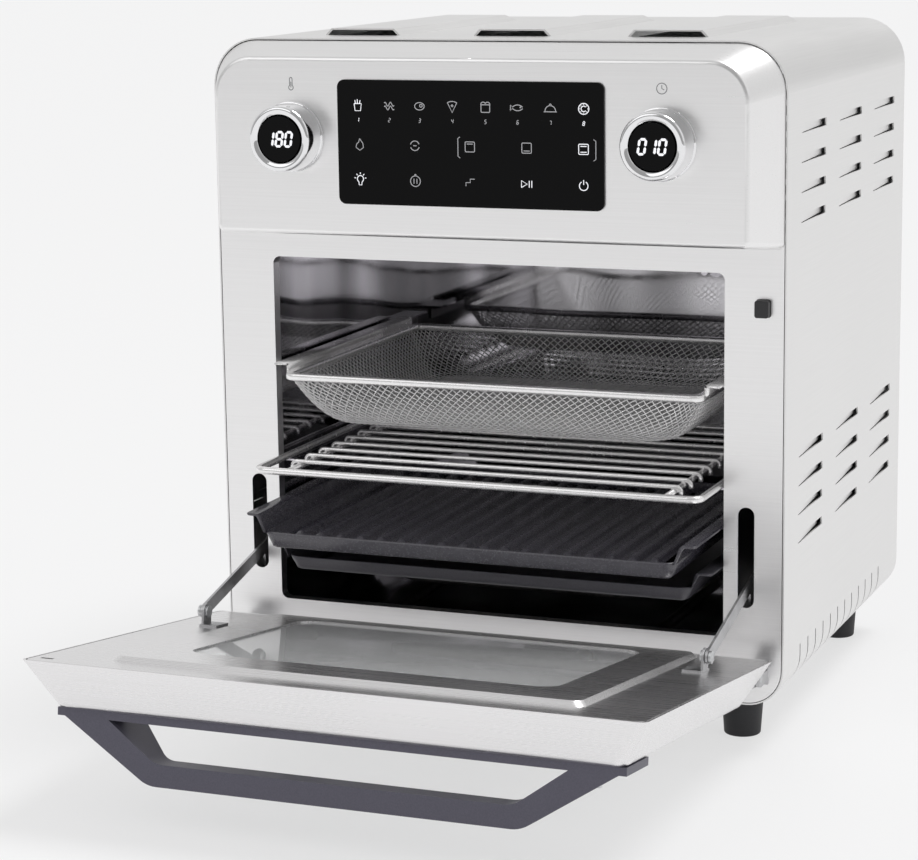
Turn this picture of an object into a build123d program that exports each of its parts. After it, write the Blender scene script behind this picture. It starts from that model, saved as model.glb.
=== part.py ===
from build123d import *
import os
from math import cos, pi, radians, sin

# Countertop air fryer oven with a drop-down glass door, drawn with its door open
# and its trays drawn partly out. Millimetres; +Z up; the front looks towards -Y.
# The parts are drawn with Y = 0 on the face of the front frame, and the whole
# oven is moved at the end so that the origin is the bottom centre of its box.

# Driving sizes of the housing
body_width = 320.0
body_top = 369.5
body_depth = 264.0
foot_height = 24.0
sheet = 0.8
top_radius = 26.0
bottom_radius = 20.0
seam = 0.4
face_gap = 0.3
run_gap = 0.3
shaft_gap = 0.05

# Louvres, hoods and vents of the housing
hood_width = 44.0
hood_pitch = body_width * 0.27 + 0.1
hood_height = 3.6
hood_slope = 3.5
hood_end = 10.0
hood_front = 34.0
hood_back = body_depth - 50.0
louvre_length = 50.0
louvre_height = 5.0
louvre_depth = 2.4
louvre_slit = 0.4
louvre_columns = 3
louvre_pitch_y = (body_depth - 24.0) / louvre_columns
louvre_first_y = louvre_pitch_y - 2.0
louvre_rows = 4
louvre_pitch_z = 15.4
louvre_group_z = (108.5, body_top - 91.7)
foot_slot_count = 12
foot_slot_first_y = 34.4
foot_slot_pitch = (body_depth - 83.05) / (foot_slot_count - 1)
foot_slot_width = 1.4
foot_slot_low = 31.0
foot_slot_high = 50.0
bottom_flange = 40.0

# Front frame and the oven opening
frame_thickness = 1.0
frame_side = 32.5
opening_half_width = body_width / 2 - frame_side
opening_low = 60.0
opening_high = body_top - 117.7
opening_tall = opening_high - opening_low
opening_radius = 4.0
lip_depth = 6.0
slot_centre_x = body_width / 2 - 20.4
slot_width = 8.8
slot_low = 76.4
slot_high = 130.0
switch_x = body_width / 2 - 12.0
switch_z = opening_high - 17.4
switch_hole_width = 8.0
switch_hole_height = 9.5

# Oven cavity
wall_gap = 1.8
cavity_depth = body_depth - 49.0
rail_width = 7.6
rail_height = 8.0
rail_thickness = 1.0
rail_front = 8.0
rail_length = cavity_depth - 18.0

# Control fascia
fascia_low = opening_high + 12.8
fascia_depth = 26.0
fascia_side_bevel = 12.1
fascia_low_bevel = 3.2
fascia_top_bevel = 7.3
fascia_wall = 2.2
glass_height = 65.0
glass_thickness = 1.2
glass_centre_x = -1.5
glass_centre_z = body_top - 52.3
glass_radius = 4.0
glass_rim = 4.0
knob_x = body_width / 2 - 58.0
knob_z = body_top - 50.2
glass_width = 2 * (knob_x - 28.5)
knob_radius = 18.6
knob_front_radius = 17.0
knob_height = 16.7
display_radius = 12.0
display_thickness = 1.7

# Door
door_width = body_width - 2.0
door_thickness = 24.0
door_taper = 13.0
door_sheet = 0.9
door_low = 46.5
door_height = fascia_low - 2.1 - door_low
door_gap = 3.5
door_open_angle = 82.33
hinge_drop = 3.0
hinge_inset = 10.0
pin_radius = 2.5
knuckle_radius = 5.0
knuckle_width = 7.5
bracket_thickness = 2.0
bracket_outer_x = door_width / 2 - 7.0
platform_half_width = door_width / 2 - 37.0
platform_low = 8.0
platform_high = door_height - 22.0
platform_height = 2.5
window_half_width = platform_half_width - 25.0
window_low = 23.5
window_high = door_height - 53.0
window_radius = 12.0
pane_thickness = 4.0
pane_overlap = 6.0
retainer_wall = 4.0
notch_x = door_width / 2 - 9.0
notch_along = door_height - 11.0
notch_width = 7.0
notch_height = 2.6

# Handle
handle_base_half = door_width / 2 - 13.0
handle_base_thickness = 4.0
handle_leg_half = handle_base_half - 4.0
handle_bar_half = handle_base_half - 50.0
handle_reach = 34.0
handle_bar_thickness = 11.0
handle_opening_half = handle_base_half - 28.0
handle_opening_bar_half = handle_bar_half - 4.0
handle_top = door_height - 15.5
handle_base_depth = 32.0
handle_bar_depth = 13.0
screw_radius = 1.6
screw_head_radius = 3.2
screw_head = 1.8

# Door links
ear_along = 57.0
ear_rise = 7.5
ear_thickness = 1.2
ear_half = 4.5
ear_inner_x = slot_centre_x - 1.6
link_thickness = 1.4
link_width = 7.0
link_length = 94.0
link_angle_open = 13.4
link_hook = 9.0
rivet_radius = 2.0
rivet_head = 3.2

# Trays: how far each stands out of the frame in this pose, and its level
tray_length = cavity_depth - 20.0
tray_flange_edge = opening_half_width - 1.0
basket_out = 11.0
basket_length = tray_length - 6.0
basket_rim_half = opening_half_width - 8.5
basket_rim_z = opening_low + opening_tall * 0.6736
basket_rim_height = 4.0
basket_rim_width = 5.0
basket_floor_half = basket_rim_half - 26.0
basket_depth = 29.0
basket_wall = 1.0
basket_inset = 16.0
basket_corner = 16.0
basket_top_corner = 10.0
basket_rim_corner = 7.0
basket_flange_lift = 3.2
flange_thickness = 1.2
rack_out = 37.0
rack_half = opening_half_width - 3.0
rack_z = opening_low + opening_tall * 0.4171
rack_rod = 2.0
rack_corner = 6.0
rack_runner_x = rack_half - 18.5
rack_runner_rod = 1.6
rack_wire_rod = 1.3
rack_wire_half = rack_half - 14.5
rack_wire_count = 10
rack_wire_first = 18.5
rack_wire_pitch = (tray_length - 34.8) / (rack_wire_count - 1)
pan_out = 48.0
pan_half = opening_half_width - 11.5
pan_corner = 8.0
pan_wall = 2.2
pan_low = opening_low + opening_tall * 0.20855
pan_floor = 4.0
pan_flange_z = pan_low + 17.0
pan_lip_z = pan_low + 9.2
tray_riser = 3.0
tray_setback = 2.0
ridge_count = 18
ridge_radius = 3.0
drip_out = 19.0
drip_half = opening_half_width - 12.0
drip_low = opening_low + opening_tall * 0.11157
drip_sheet = 1.0
drip_lip_z = drip_low + 8.0
drip_flange_z = drip_low + 14.6

# Heating and air
element_rod = 3.25
element_half = opening_half_width - 49.5
element_front = 34.0
element_margin = 2.0
element_leg_x = 20.0
element_bend = 24.0
coil_lift = 8.0
coil_leg_x = 12.0
coil_bend = 10.0
coil_tail = 8.0
lower_element_z = opening_low + 10.0
bushing_radius = 6.0
bushing_length = 9.0
bushing_flange = 1.0
fan_blade_height = 12.0
fan_blade_count = 9
fan_hub_radius = 12.0
fan_lift = 16.0
dome_radius = opening_half_width - 37.5
fan_hole_radius = dome_radius - 6.0
coil_radius = dome_radius - 22.0
fan_radius = coil_radius - 10.0
dome_height = 40.0
dome_flange = 8.0
shaft_radius = 3.0
motor_size = 56.0
motor_height = 30.0
motor_stand = 12.0
motor_leg_radius = 3.5
cooling_radius = 42.0
cooling_height = 10.0
guard_half = dome_radius + 6.0
guard_front = 20.0
guard_back = cavity_depth - 11.0
fan_y = (guard_front + guard_back) / 2
guard_thickness = 1.2
guard_slot_count = 11
guard_slot_width = 8.0
guard_slot_length = guard_half - 20.0
guard_border = 12.0
guard_corner = 10.0

# Boards, lamp, sensors, rotisserie drive and inlet
board_thickness = 1.6
board_stand_radius = 3.0
board_stand = 3.8
power_board_x = 45.0 - body_width / 2
power_board_width = 38.0
power_board_length = 150.0
power_board_y = 125.0
power_board_stand = 30.0
power_stud_inset = 7.0
lamp_y = 150.0
lamp_z = opening_low + opening_tall * 0.8446
lamp_radius = 16.0
lamp_lens_radius = 20.0
lamp_lens_thickness = 1.3
lamp_cup_depth = 20.0
bulb_radius = 6.5
probe_x = 60.0
probe_z = opening_low + opening_tall * 0.8603
probe_radius = 2.0
probe_reach = 26.0
cutout_inset = 22.0
cutout_radius = 8.0
cutout_height = 6.0
spit_y = 115.0
spit_z = opening_low + opening_tall * 0.4849
spit_head_radius = 6.0
spit_head_length = 5.8
spit_square = 5.0
spit_motor_size = 38.0
spit_motor_depth = 22.0
plunger_out = 4.6
plunger_length = 17.0
switch_body_wall = 3.0
switch_body_depth = 19.0
gland_x = 50.0 - body_width / 2
gland_z = 62.0
gland_radius = 9.0
gland_bore = 3.6
foot_x = body_width / 2 - 29.6
foot_front_y = 28.0
foot_back_inset = 26.0
foot_top_radius = 11.5
foot_bottom_radius = 9.8
rear_skirt = 9.0
rear_sheet = 1.0
rear_screw_inset = 14.0
rear_screw_low = 60.0
rear_screw_high = body_top - 39.5
vent_x = 62.0
vent_length = 76.0
vent_height = 3.6
vent_rows = 9
vent_pitch = 9.5
vent_low = body_top - 107.5


# Places worked out from the sizes
half = body_width / 2
front_back = frame_thickness
liner_x = opening_half_width + wall_gap
liner_low = opening_low - wall_gap
liner_high = opening_high + wall_gap
cavity_back = front_back + cavity_depth
rear_plate_y = body_depth - rear_sheet - sheet
element_back = guard_back - element_bend - element_margin
fascia_face = -fascia_depth
door_inner_y = -door_gap
hinge_y = door_inner_y - hinge_inset
hinge_z = door_low - hinge_drop

parts = {}


def block(x0, x1, y0, y1, z0, z1):
    """A box between two corners."""
    middle = Pos((x0 + x1) / 2, (y0 + y1) / 2, (z0 + z1) / 2)
    return middle * Box(x1 - x0, y1 - y0, z1 - z0)


def upright(y):
    """A plane facing the front at depth y, with its own x and y along X and Z."""
    return Plane(origin=(0, y, 0), x_dir=(1, 0, 0), z_dir=(0, -1, 0))


def slab(sketch, y0, y1):
    """A sketch in X and Z, carried from depth y0 back to depth y1."""
    return extrude(upright(y0) * sketch, amount=-(y1 - y0))


def arch(half_width, low, high, top, bottom):
    """A rectangle with its two upper and two lower corners rounded."""
    shape = Pos(0, (low + high) / 2) * Rectangle(2 * half_width, high - low)
    shape = fillet(shape.vertices().group_by(Axis.Y)[-1], top)
    return fillet(shape.vertices().group_by(Axis.Y)[0], bottom)


def soft_rectangle(x, z, width, height, radius):
    """A rounded rectangle centred on a point."""
    return Pos(x, z) * RectangleRounded(width, height, radius)


def rod_y(x, z, radius, y0, y1):
    """A cylinder along Y."""
    return extrude(upright(y0) * (Pos(x, z) * Circle(radius)), amount=-(y1 - y0))


def rod_x(y, z, radius, x0, x1):
    """A cylinder along X."""
    side = Plane(origin=(x0, 0, 0), x_dir=(0, 1, 0), z_dir=(1, 0, 0))
    return extrude(side * (Pos(y, z) * Circle(radius)), amount=x1 - x0)


def rod_z(x, y, radius, z0, z1):
    """A cylinder along Z."""
    return Pos(x, y, (z0 + z1) / 2) * Cylinder(radius, z1 - z0)


def side_plate(points, x0, x1):
    """A flat outline of Y and Z points, carried along X."""
    side = Plane(origin=(x0, 0, 0), x_dir=(0, 1, 0), z_dir=(1, 0, 0))
    return extrude(side * make_face(Polyline(*points, close=True)), amount=x1 - x0)


def both_sides(shape):
    """A shape and its mirror image across the middle of the oven."""
    return [shape, mirror(shape, about=Plane.YZ)]


def tube(points, bend, radius):
    """A round rod bent along a path of straight runs and arcs."""
    path = FilletPolyline(*points, radius=bend)
    start = Plane(origin=path @ 0, z_dir=path % 0)
    return sweep(start * Circle(radius), path=path)


def screw_y(x, z, seat, length, outward):
    """A round-headed screw along Y; outward is the side its head stands on."""
    head = rod_y(x, z, screw_head_radius, min(seat, seat + outward * screw_head),
                 max(seat, seat + outward * screw_head))
    tip = seat - outward * length
    return head + rod_y(x, z, screw_radius, min(seat, tip), max(seat, tip))


def add(name, *solids):
    """Keep one named sub-part, made of one or more solids."""
    parts[name] = list(solids)


# Outer shell: sides and top bent from one sheet
def make_shell():
    skin = slab(arch(half, foot_height, body_top, top_radius, bottom_radius), 0, body_depth)
    inside = arch(half - sheet, foot_height + sheet, body_top - sheet,
                  top_radius - sheet, bottom_radius - sheet)
    skin -= slab(inside, -1, body_depth + 1)
    floor_half = half - bottom_radius - bottom_flange
    skin -= block(-floor_half, floor_half, -1, body_depth + 1, foot_height - 1, foot_height + 2)
    for i in (-1, 0, 1):
        skin += Pos(i * hood_pitch, 0, 0) * make_hood(0, hood_front, hood_back)
        skin -= Pos(i * hood_pitch, 0, 0) * make_hood(sheet, hood_front - 1, hood_back - sheet)
    return cut_side_vents(skin)


def make_hood(inset, y0, y1):
    """A raised rib with sloping sides and a sloping back end, smaller by an inset."""
    low = body_top - 2 * sheet if inset else body_top - sheet
    foot = body_top - inset
    high = body_top + hood_height - inset
    wide = hood_width / 2 - inset
    outline = [(-wide, low), (-wide, foot), (-wide + hood_slope, high),
               (wide - hood_slope, high), (wide, foot), (wide, low)]
    hood = slab(make_face(Polyline(*outline, close=True)), y0, y1)
    end = [(y1 - hood_end, high), (y1, foot), (y1 + 1, foot), (y1 + 1, high)]
    return hood - side_plate(end, -wide - 1, wide + 1)


def cut_side_vents(skin):
    """Louvres sheared along the bottom and pressed in, deepest at the rear, and low slots."""
    inner = half - sheet
    in_sheet = half - sheet / 2
    deepest = half - louvre_depth
    web_low = louvre_height - sheet
    ramp_points = [(inner, 0), (half, 0), (deepest, louvre_length),
                   (deepest - sheet, louvre_length)]
    web_points = [(in_sheet, 0), (in_sheet, louvre_length), (deepest - sheet, louvre_length),
                  (inner, 0)]
    ramp = Pos(0, 0, louvre_slit) * extrude(make_face(Polyline(*ramp_points, close=True)),
                                            amount=web_low - louvre_slit)
    web = Pos(0, 0, web_low) * extrude(make_face(Polyline(*web_points, close=True)),
                                       amount=sheet)
    window = block(inner - 1, half + 1, 0, louvre_length, 0, web_low)
    pressed = []
    cuts = []
    for column in range(louvre_columns):
        y = louvre_first_y + column * louvre_pitch_y - louvre_length
        for low in louvre_group_z:
            for row in range(louvre_rows):
                z = low + row * louvre_pitch_z - louvre_height / 2
                pressed += both_sides(Pos(0, y, z) * ramp) + both_sides(Pos(0, y, z) * web)
                cuts += both_sides(Pos(0, y, z) * window)
    for i in range(foot_slot_count):
        y = foot_slot_first_y + i * foot_slot_pitch
        slot = block(half - bottom_radius / 2, half + 1, y - foot_slot_width / 2,
                     y + foot_slot_width / 2, foot_slot_low, foot_slot_high)
        cuts += both_sides(slot)
    return skin - cuts + pressed


add("outer_shell", make_shell())


# Front frame: face plate with the opening, the link slots and the switch hole
frame_half = half - sheet - seam
frame_low = foot_height + sheet + seam
frame_high = body_top - sheet - seam
opening_mid = (opening_low + opening_high) / 2


def make_frame():
    outline = arch(frame_half, frame_low, frame_high, top_radius - sheet - seam,
                   bottom_radius - sheet - seam)
    plate = slab(outline, 0, frame_thickness)
    hole = soft_rectangle(0, opening_mid, 2 * opening_half_width, opening_tall, opening_radius)
    lip = soft_rectangle(0, opening_mid, 2 * opening_half_width + 2 * frame_thickness,
                         opening_tall + 2 * frame_thickness, opening_radius + frame_thickness)
    plate += slab(lip, 0, frame_thickness + lip_depth)
    plate -= slab(hole, -1, frame_thickness + lip_depth + 1)
    slot = soft_rectangle(slot_centre_x, (slot_low + slot_high) / 2, slot_width,
                          slot_high - slot_low, slot_width / 2 - 0.01)
    plate -= both_sides(slab(slot, -1, frame_thickness + 1))
    hole = soft_rectangle(switch_x, switch_z, switch_hole_width, switch_hole_height, 1.5)
    return plate - slab(hole, -1, frame_thickness + 1)


add("front_frame", make_frame())

# Base pan and rear cover
add("base_pan", block(-(half - bottom_radius - 1), half - bottom_radius - 1,
                      front_back + seam, rear_plate_y - rear_skirt - seam,
                      foot_height + sheet, foot_height + 2 * sheet))


def make_rear_cover():
    gap = sheet + seam
    outline = arch(half - gap, foot_height + 2 * gap, body_top - gap,
                   top_radius - gap, bottom_radius - gap)
    inner = arch(half - gap - rear_sheet, foot_height + 2 * gap + rear_sheet,
                 body_top - gap - rear_sheet, top_radius - gap - rear_sheet,
                 bottom_radius - gap - rear_sheet)
    cover = slab(outline, rear_plate_y - rear_skirt, rear_plate_y + rear_sheet)
    cover -= slab(inner, rear_plate_y - rear_skirt - 1, rear_plate_y)
    for side in (-1, 1):
        for row in range(vent_rows):
            slot = soft_rectangle(side * vent_x, vent_low + row * vent_pitch, vent_length,
                                  vent_height, vent_height / 2 - 0.1)
            cover -= slab(slot, rear_plate_y - 1, rear_plate_y + rear_sheet + 1)
    cover -= rod_y(gland_x, gland_z, gland_radius - 2, rear_plate_y - 1, body_depth)
    for x, z in rear_screw_places():
        cover -= rod_y(x, z, screw_radius + 0.2, rear_plate_y - 1, body_depth)
    return cover


def rear_screw_places():
    edge = half - rear_screw_inset
    middle = (rear_screw_low + rear_screw_high) / 2
    levels = (rear_screw_low, middle, rear_screw_high)
    return [(side * edge, z) for side in (-1, 1) for z in levels]


add("rear_cover", make_rear_cover())
add("rear_screws", *[screw_y(x, z, rear_plate_y + rear_sheet, 8, 1)
                     for x, z in rear_screw_places()])


# Cord gland on the rear cover, left empty
def make_gland():
    head_y = rear_plate_y + rear_sheet
    gland = rod_y(gland_x, gland_z, gland_radius, head_y, head_y + 5)
    gland += rod_y(gland_x, gland_z, gland_radius - 2.2, rear_plate_y - 8, head_y)
    return gland - rod_y(gland_x, gland_z, gland_bore, rear_plate_y - 9, head_y + 6)


add("cord_gland", make_gland())


# Feet
def make_foot(x, y):
    foot = Pos(x, y, foot_height / 2) * Cone(foot_bottom_radius, foot_top_radius, foot_height)
    return fillet(foot.edges().group_by(Axis.Z)[0], 1.2)


add("feet", *[make_foot(side * foot_x, y) for side in (-1, 1)
              for y in (foot_front_y, body_depth - foot_back_inset)])


# Cavity liner, as five plates that meet face to face
def make_liner():
    wall_back = cavity_back
    left = block(-liner_x - sheet, -liner_x, front_back, wall_back, liner_low, liner_high)
    right = block(liner_x, liner_x + sheet, front_back, wall_back, liner_low, liner_high)
    right -= rod_x(lamp_y, lamp_z, lamp_radius, liner_x - 1, liner_x + 2)
    right -= rod_x(spit_y, spit_z, shaft_radius + 0.6, liner_x - 1, liner_x + 2)
    floor = block(-liner_x - sheet, liner_x + sheet, front_back, wall_back,
                  liner_low - sheet, liner_low)
    ceiling = block(-liner_x - sheet, liner_x + sheet, front_back, wall_back,
                    liner_high, liner_high + sheet)
    ceiling -= rod_z(0, fan_y, fan_hole_radius, liner_high - 1, liner_high + 2)
    back = block(-liner_x - sheet, liner_x + sheet, wall_back, wall_back + sheet,
                 liner_low - sheet, liner_high + sheet)
    for x in (-element_leg_x, element_leg_x):
        back -= rod_y(x, lower_element_z, bushing_radius, wall_back - 1, wall_back + 2)
    back -= rod_y(probe_x, probe_z, probe_radius + 0.2, wall_back - 1, wall_back + 2)
    add("liner_left", left)
    add("liner_right", right)
    add("liner_floor", floor)
    add("liner_ceiling", ceiling)
    add("liner_back", back)


make_liner()

# Tray runners: one ledge for each tray on each side
basket_flange_z = basket_rim_z + basket_flange_lift
tray_levels = [basket_flange_z, rack_z - rack_rod, pan_flange_z, drip_flange_z]


def make_rail(level):
    top = level - face_gap
    ledge = block(-liner_x, -liner_x + rail_width, rail_front, rail_front + rail_length,
                  top - rail_thickness, top)
    web = block(-liner_x, -liner_x + rail_thickness, rail_front, rail_front + rail_length,
                top - rail_height, top)
    return ledge + web


add("guide_rails_left", *[make_rail(z) for z in tray_levels])
add("guide_rails_right", *[mirror(make_rail(z), about=Plane.YZ) for z in tray_levels])


# Fan housing over the hole in the ceiling, with the upper element's coil inside
dome_low = liner_high + sheet
dome_top = dome_low + dome_height
coil_z = dome_low + coil_lift
dome_back = fan_y + dome_radius


def make_lower_element():
    end = cavity_back + bushing_length
    points = [(-element_leg_x, end, lower_element_z), (-element_leg_x, element_back, lower_element_z),
              (-element_half, element_back, lower_element_z),
              (-element_half, element_front, lower_element_z),
              (element_half, element_front, lower_element_z),
              (element_half, element_back, lower_element_z),
              (element_leg_x, element_back, lower_element_z), (element_leg_x, end, lower_element_z)]
    return tube(points, element_bend, element_rod)


def make_upper_element():
    """Most of a ring round the fan, with two legs out through the housing's back."""
    end = dome_back + bushing_length
    turn = coil_radius * cos(pi / 4)
    tail = fan_y + turn + coil_tail
    ring = [(-coil_leg_x, end), (-coil_leg_x, fan_y + coil_radius), (-turn, tail),
            (-coil_radius, fan_y), (-turn, fan_y - turn), (0, fan_y - coil_radius),
            (turn, fan_y - turn), (coil_radius, fan_y), (turn, tail),
            (coil_leg_x, fan_y + coil_radius), (coil_leg_x, end)]
    return tube([(x, y, coil_z) for x, y in ring], coil_bend, element_rod)


def make_bushing(x, z, wall_y):
    """A ceramic collar in a wall, with its flange on the wall's outer face."""
    collar = rod_y(x, z, bushing_radius - 0.1, wall_y - 2, wall_y + bushing_length - 2)
    collar += rod_y(x, z, bushing_radius + bushing_flange, wall_y + sheet, wall_y + sheet + 2)
    return collar - rod_y(x, z, element_rod + 0.1, wall_y - 3, wall_y + bushing_length)


add("upper_element", make_upper_element())
add("lower_element", make_lower_element())
lower_bushings = [make_bushing(x, lower_element_z, cavity_back)
                  for x in (-element_leg_x, element_leg_x)]
upper_bushings = [make_bushing(x, coil_z, dome_back - sheet) for x in (-coil_leg_x, coil_leg_x)]
add("element_bushings", *lower_bushings, *upper_bushings)


# Slotted guard plate under the hole in the ceiling
def make_guard():
    low = liner_high - guard_thickness
    guard = block(-guard_half, guard_half, guard_front, guard_back, low, liner_high)
    guard = fillet(guard.edges().filter_by(Axis.Z), guard_corner)
    pitch = (guard_back - guard_front - 2 * guard_border) / guard_slot_count
    for i in range(guard_slot_count):
        y = guard_front + guard_border + (i + 0.5) * pitch
        for side in (-1, 1):
            slot = Pos(side * guard_half / 2, y) * SlotOverall(guard_slot_length, guard_slot_width)
            guard -= extrude(Plane.XY.offset(low - 1) * slot, amount=3)
    return guard


add("fan_guard", make_guard())

# Fan motor and the two fans on one shaft
motor_low = dome_top + motor_stand
motor_top = motor_low + motor_height


def make_dome():
    outer = rod_z(0, fan_y, dome_radius, dome_low, dome_top)
    outer += rod_z(0, fan_y, dome_radius + dome_flange, dome_low, dome_low + sheet)
    outer -= rod_z(0, fan_y, dome_radius - sheet, dome_low - 1, dome_top - sheet)
    for x in (-coil_leg_x, coil_leg_x):
        outer -= rod_y(x, coil_z, bushing_radius, dome_back - 12, dome_back + 1)
    return outer - rod_z(0, fan_y, shaft_radius + 2, dome_top - 2, dome_top + 1)


def make_motor():
    core = block(-motor_size / 2, motor_size / 2, fan_y - motor_size / 2, fan_y + motor_size / 2,
                 motor_low + 5, motor_top - 5)
    core = fillet(core.edges().filter_by(Axis.Z), 4)
    core += rod_z(0, fan_y, motor_size * 0.3, motor_low, motor_top)
    spread = motor_size / 2 - 6
    for sx in (-1, 1):
        for sy in (-1, 1):
            core += rod_z(sx * spread, fan_y + sy * spread, motor_leg_radius, dome_top, motor_low + 6)
    return core - rod_z(0, fan_y, shaft_radius + shaft_gap, motor_low - 1, motor_top + 1)


def make_fan(radius, low, height, count, hub):
    """A hub, a thin back plate and flat blades at a pitch angle."""
    fan = rod_z(0, fan_y, hub, low, low + height)
    fan += rod_z(0, fan_y, radius * 0.72, low + height - 1.2, low + height)
    blade = Pos((hub + radius) / 2 - 1, 0, low + height / 2) * Box(radius - hub + 2, 1.2, height)
    for i in range(count):
        turn = Pos(0, fan_y, 0) * Rot(0, 0, i * 360 / count)
        fan += turn * blade
    return fan - rod_z(0, fan_y, shaft_radius, low - 1, low + height + 1)


fan_low = dome_low + fan_lift
cooling_low = motor_top + 4.0
add("fan_housing", make_dome())
add("fan_motor", make_motor())
add("convection_fan", make_fan(fan_radius, fan_low, fan_blade_height, fan_blade_count,
                               fan_hub_radius))
add("cooling_fan", make_fan(cooling_radius, cooling_low, cooling_height, fan_blade_count + 2,
                            fan_hub_radius))
add("fan_shaft", rod_z(0, fan_y, shaft_radius, fan_low - 2, cooling_low + cooling_height + 2))


# Control fascia: a raised housing with bevelled sides
def fascia_solid(inset, depth):
    base = arch(frame_half - inset, fascia_low + inset, frame_high - inset,
                top_radius - sheet - seam - inset, 3.5 - inset)
    face_sketch = arch(frame_half - fascia_side_bevel - inset,
                       fascia_low + fascia_low_bevel + inset,
                       frame_high - fascia_top_bevel - inset, top_radius - 5 - inset,
                       3.5 - inset)
    return loft([upright(0) * base, upright(-depth) * face_sketch], ruled=True)


def make_fascia():
    fascia = fascia_solid(0, fascia_depth)
    fascia = fillet(fascia.faces().sort_by(Axis.Y)[0].edges(), 2.5)
    fascia -= fascia_solid(fascia_wall, fascia_depth - fascia_wall)
    window = soft_rectangle(glass_centre_x, glass_centre_z, glass_width - 2 * glass_rim,
                            glass_height - 2 * glass_rim, glass_radius)
    fascia -= slab(window, fascia_face - 1, fascia_face + fascia_wall + 1)
    for side in (-1, 1):
        fascia -= rod_y(side * knob_x, knob_z, display_radius + 0.2, fascia_face - 1,
                        fascia_face + fascia_wall + 1)
    return fascia


add("control_fascia", make_fascia())
add("touch_glass", slab(soft_rectangle(glass_centre_x, glass_centre_z, glass_width, glass_height,
                                       glass_radius), fascia_face - glass_thickness, fascia_face))

# Boards: the control board on studs behind the glass, the power board over the cavity
fascia_inside = fascia_face + fascia_wall
board_y = fascia_inside + board_stand
stud_x = glass_width / 2 - 0.5
stud_z = glass_height / 2 - 4


def make_control_board():
    board = block(glass_centre_x - stud_x - 4, glass_centre_x + stud_x + 4, board_y,
                  board_y + board_thickness, glass_centre_z - stud_z - 4,
                  glass_centre_z + stud_z + 4)
    chip = block(glass_centre_x - 12, glass_centre_x + 12, board_y + board_thickness,
                 board_y + board_thickness + 2.5, glass_centre_z - 12, glass_centre_z + 12)
    return board + chip


def make_power_board():
    low = liner_high + sheet + power_board_stand
    top = low + board_thickness
    board = block(power_board_x - power_board_width / 2, power_board_x + power_board_width / 2,
                  power_board_y - power_board_length / 2, power_board_y + power_board_length / 2,
                  low, top)
    x0 = power_board_x - power_board_width / 2 + 5
    for y, long, tall in ((-52, 28, 24), (-14, 20, 16), (12, 20, 16), (48, 30, 30)):
        board += block(x0, x0 + power_board_width - 12, power_board_y + y - long / 2,
                       power_board_y + y + long / 2, top, top + tall)
    return board


def make_studs():
    studs = []
    for sx in (-1, 1):
        for sz in (-1, 1):
            studs.append(rod_y(glass_centre_x + sx * stud_x, glass_centre_z + sz * stud_z,
                               board_stand_radius, fascia_inside, board_y))
            studs.append(rod_z(power_board_x + sx * (power_board_width / 2 - power_stud_inset),
                               power_board_y + sz * (power_board_length / 2 - power_stud_inset),
                               board_stand_radius, liner_high + sheet,
                               liner_high + sheet + power_board_stand))
    return studs


add("control_board", make_control_board())
add("power_board", make_power_board())
add("board_studs", *make_studs())

# Knobs: a chrome ring that turns round a fixed number display
knob_back = fascia_face - run_gap
knob_face = knob_back - knob_height
lens_face = knob_face + 1.0
lens_back = lens_face + display_thickness


def make_knob(x):
    bore = display_radius + run_gap
    waist = knob_radius - 1.2
    points = [(bore, knob_back), (knob_radius, knob_back), (knob_radius, knob_back - 3.2),
              (waist, knob_back - 4.2), (knob_front_radius, knob_face + 1.6),
              (knob_front_radius - 1.2, knob_face), (bore + 1.4, knob_face),
              (bore, knob_face + 0.8)]
    ring = make_face(Polyline(*points, close=True))
    return Pos(x, 0, knob_z) * revolve(ring, axis=Axis.Y)


def make_display_stem(x):
    stem = rod_y(x, knob_z, display_radius, lens_back, fascia_inside)
    return stem + rod_y(x, knob_z, display_radius + 4, fascia_inside, fascia_inside + 2)


add("knob_ring_left", make_knob(-knob_x))
add("knob_ring_right", make_knob(knob_x))
add("display_stems", make_display_stem(-knob_x), make_display_stem(knob_x))
add("display_lenses", *[rod_y(x, knob_z, display_radius, lens_face, lens_back)
                        for x in (-knob_x, knob_x)])


# Lamp in the right wall: cup and bulb outside the wall, lens inside
def make_lamp():
    outer_x = liner_x + sheet
    cup = rod_x(lamp_y, lamp_z, lamp_lens_radius, outer_x, outer_x + lamp_cup_depth)
    cup -= rod_x(lamp_y, lamp_z, lamp_radius, outer_x - 1, outer_x + lamp_cup_depth - 1.5)
    end = outer_x + lamp_cup_depth - 1.5
    bulb = rod_x(lamp_y, lamp_z, bulb_radius, end - 10, end)
    bulb += Pos(end - 10, lamp_y, lamp_z) * Sphere(bulb_radius)
    add("lamp_cup", cup)
    add("lamp_bulb", bulb)
    add("lamp_lens", rod_x(lamp_y, lamp_z, lamp_lens_radius, liner_x - lamp_lens_thickness,
                           liner_x))


make_lamp()

# Temperature probe through the back wall, and thermal cut-out on the ceiling
probe = rod_y(probe_x, probe_z, probe_radius, cavity_back - probe_reach, cavity_back + 14)
probe += rod_y(probe_x, probe_z, probe_radius + 4, cavity_back - 1.2, cavity_back)
add("temperature_probe", probe)
add("thermal_cutout", rod_z(liner_x - cutout_inset, fan_y - 52, cutout_radius, liner_high + sheet,
                            liner_high + sheet + cutout_height))


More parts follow.
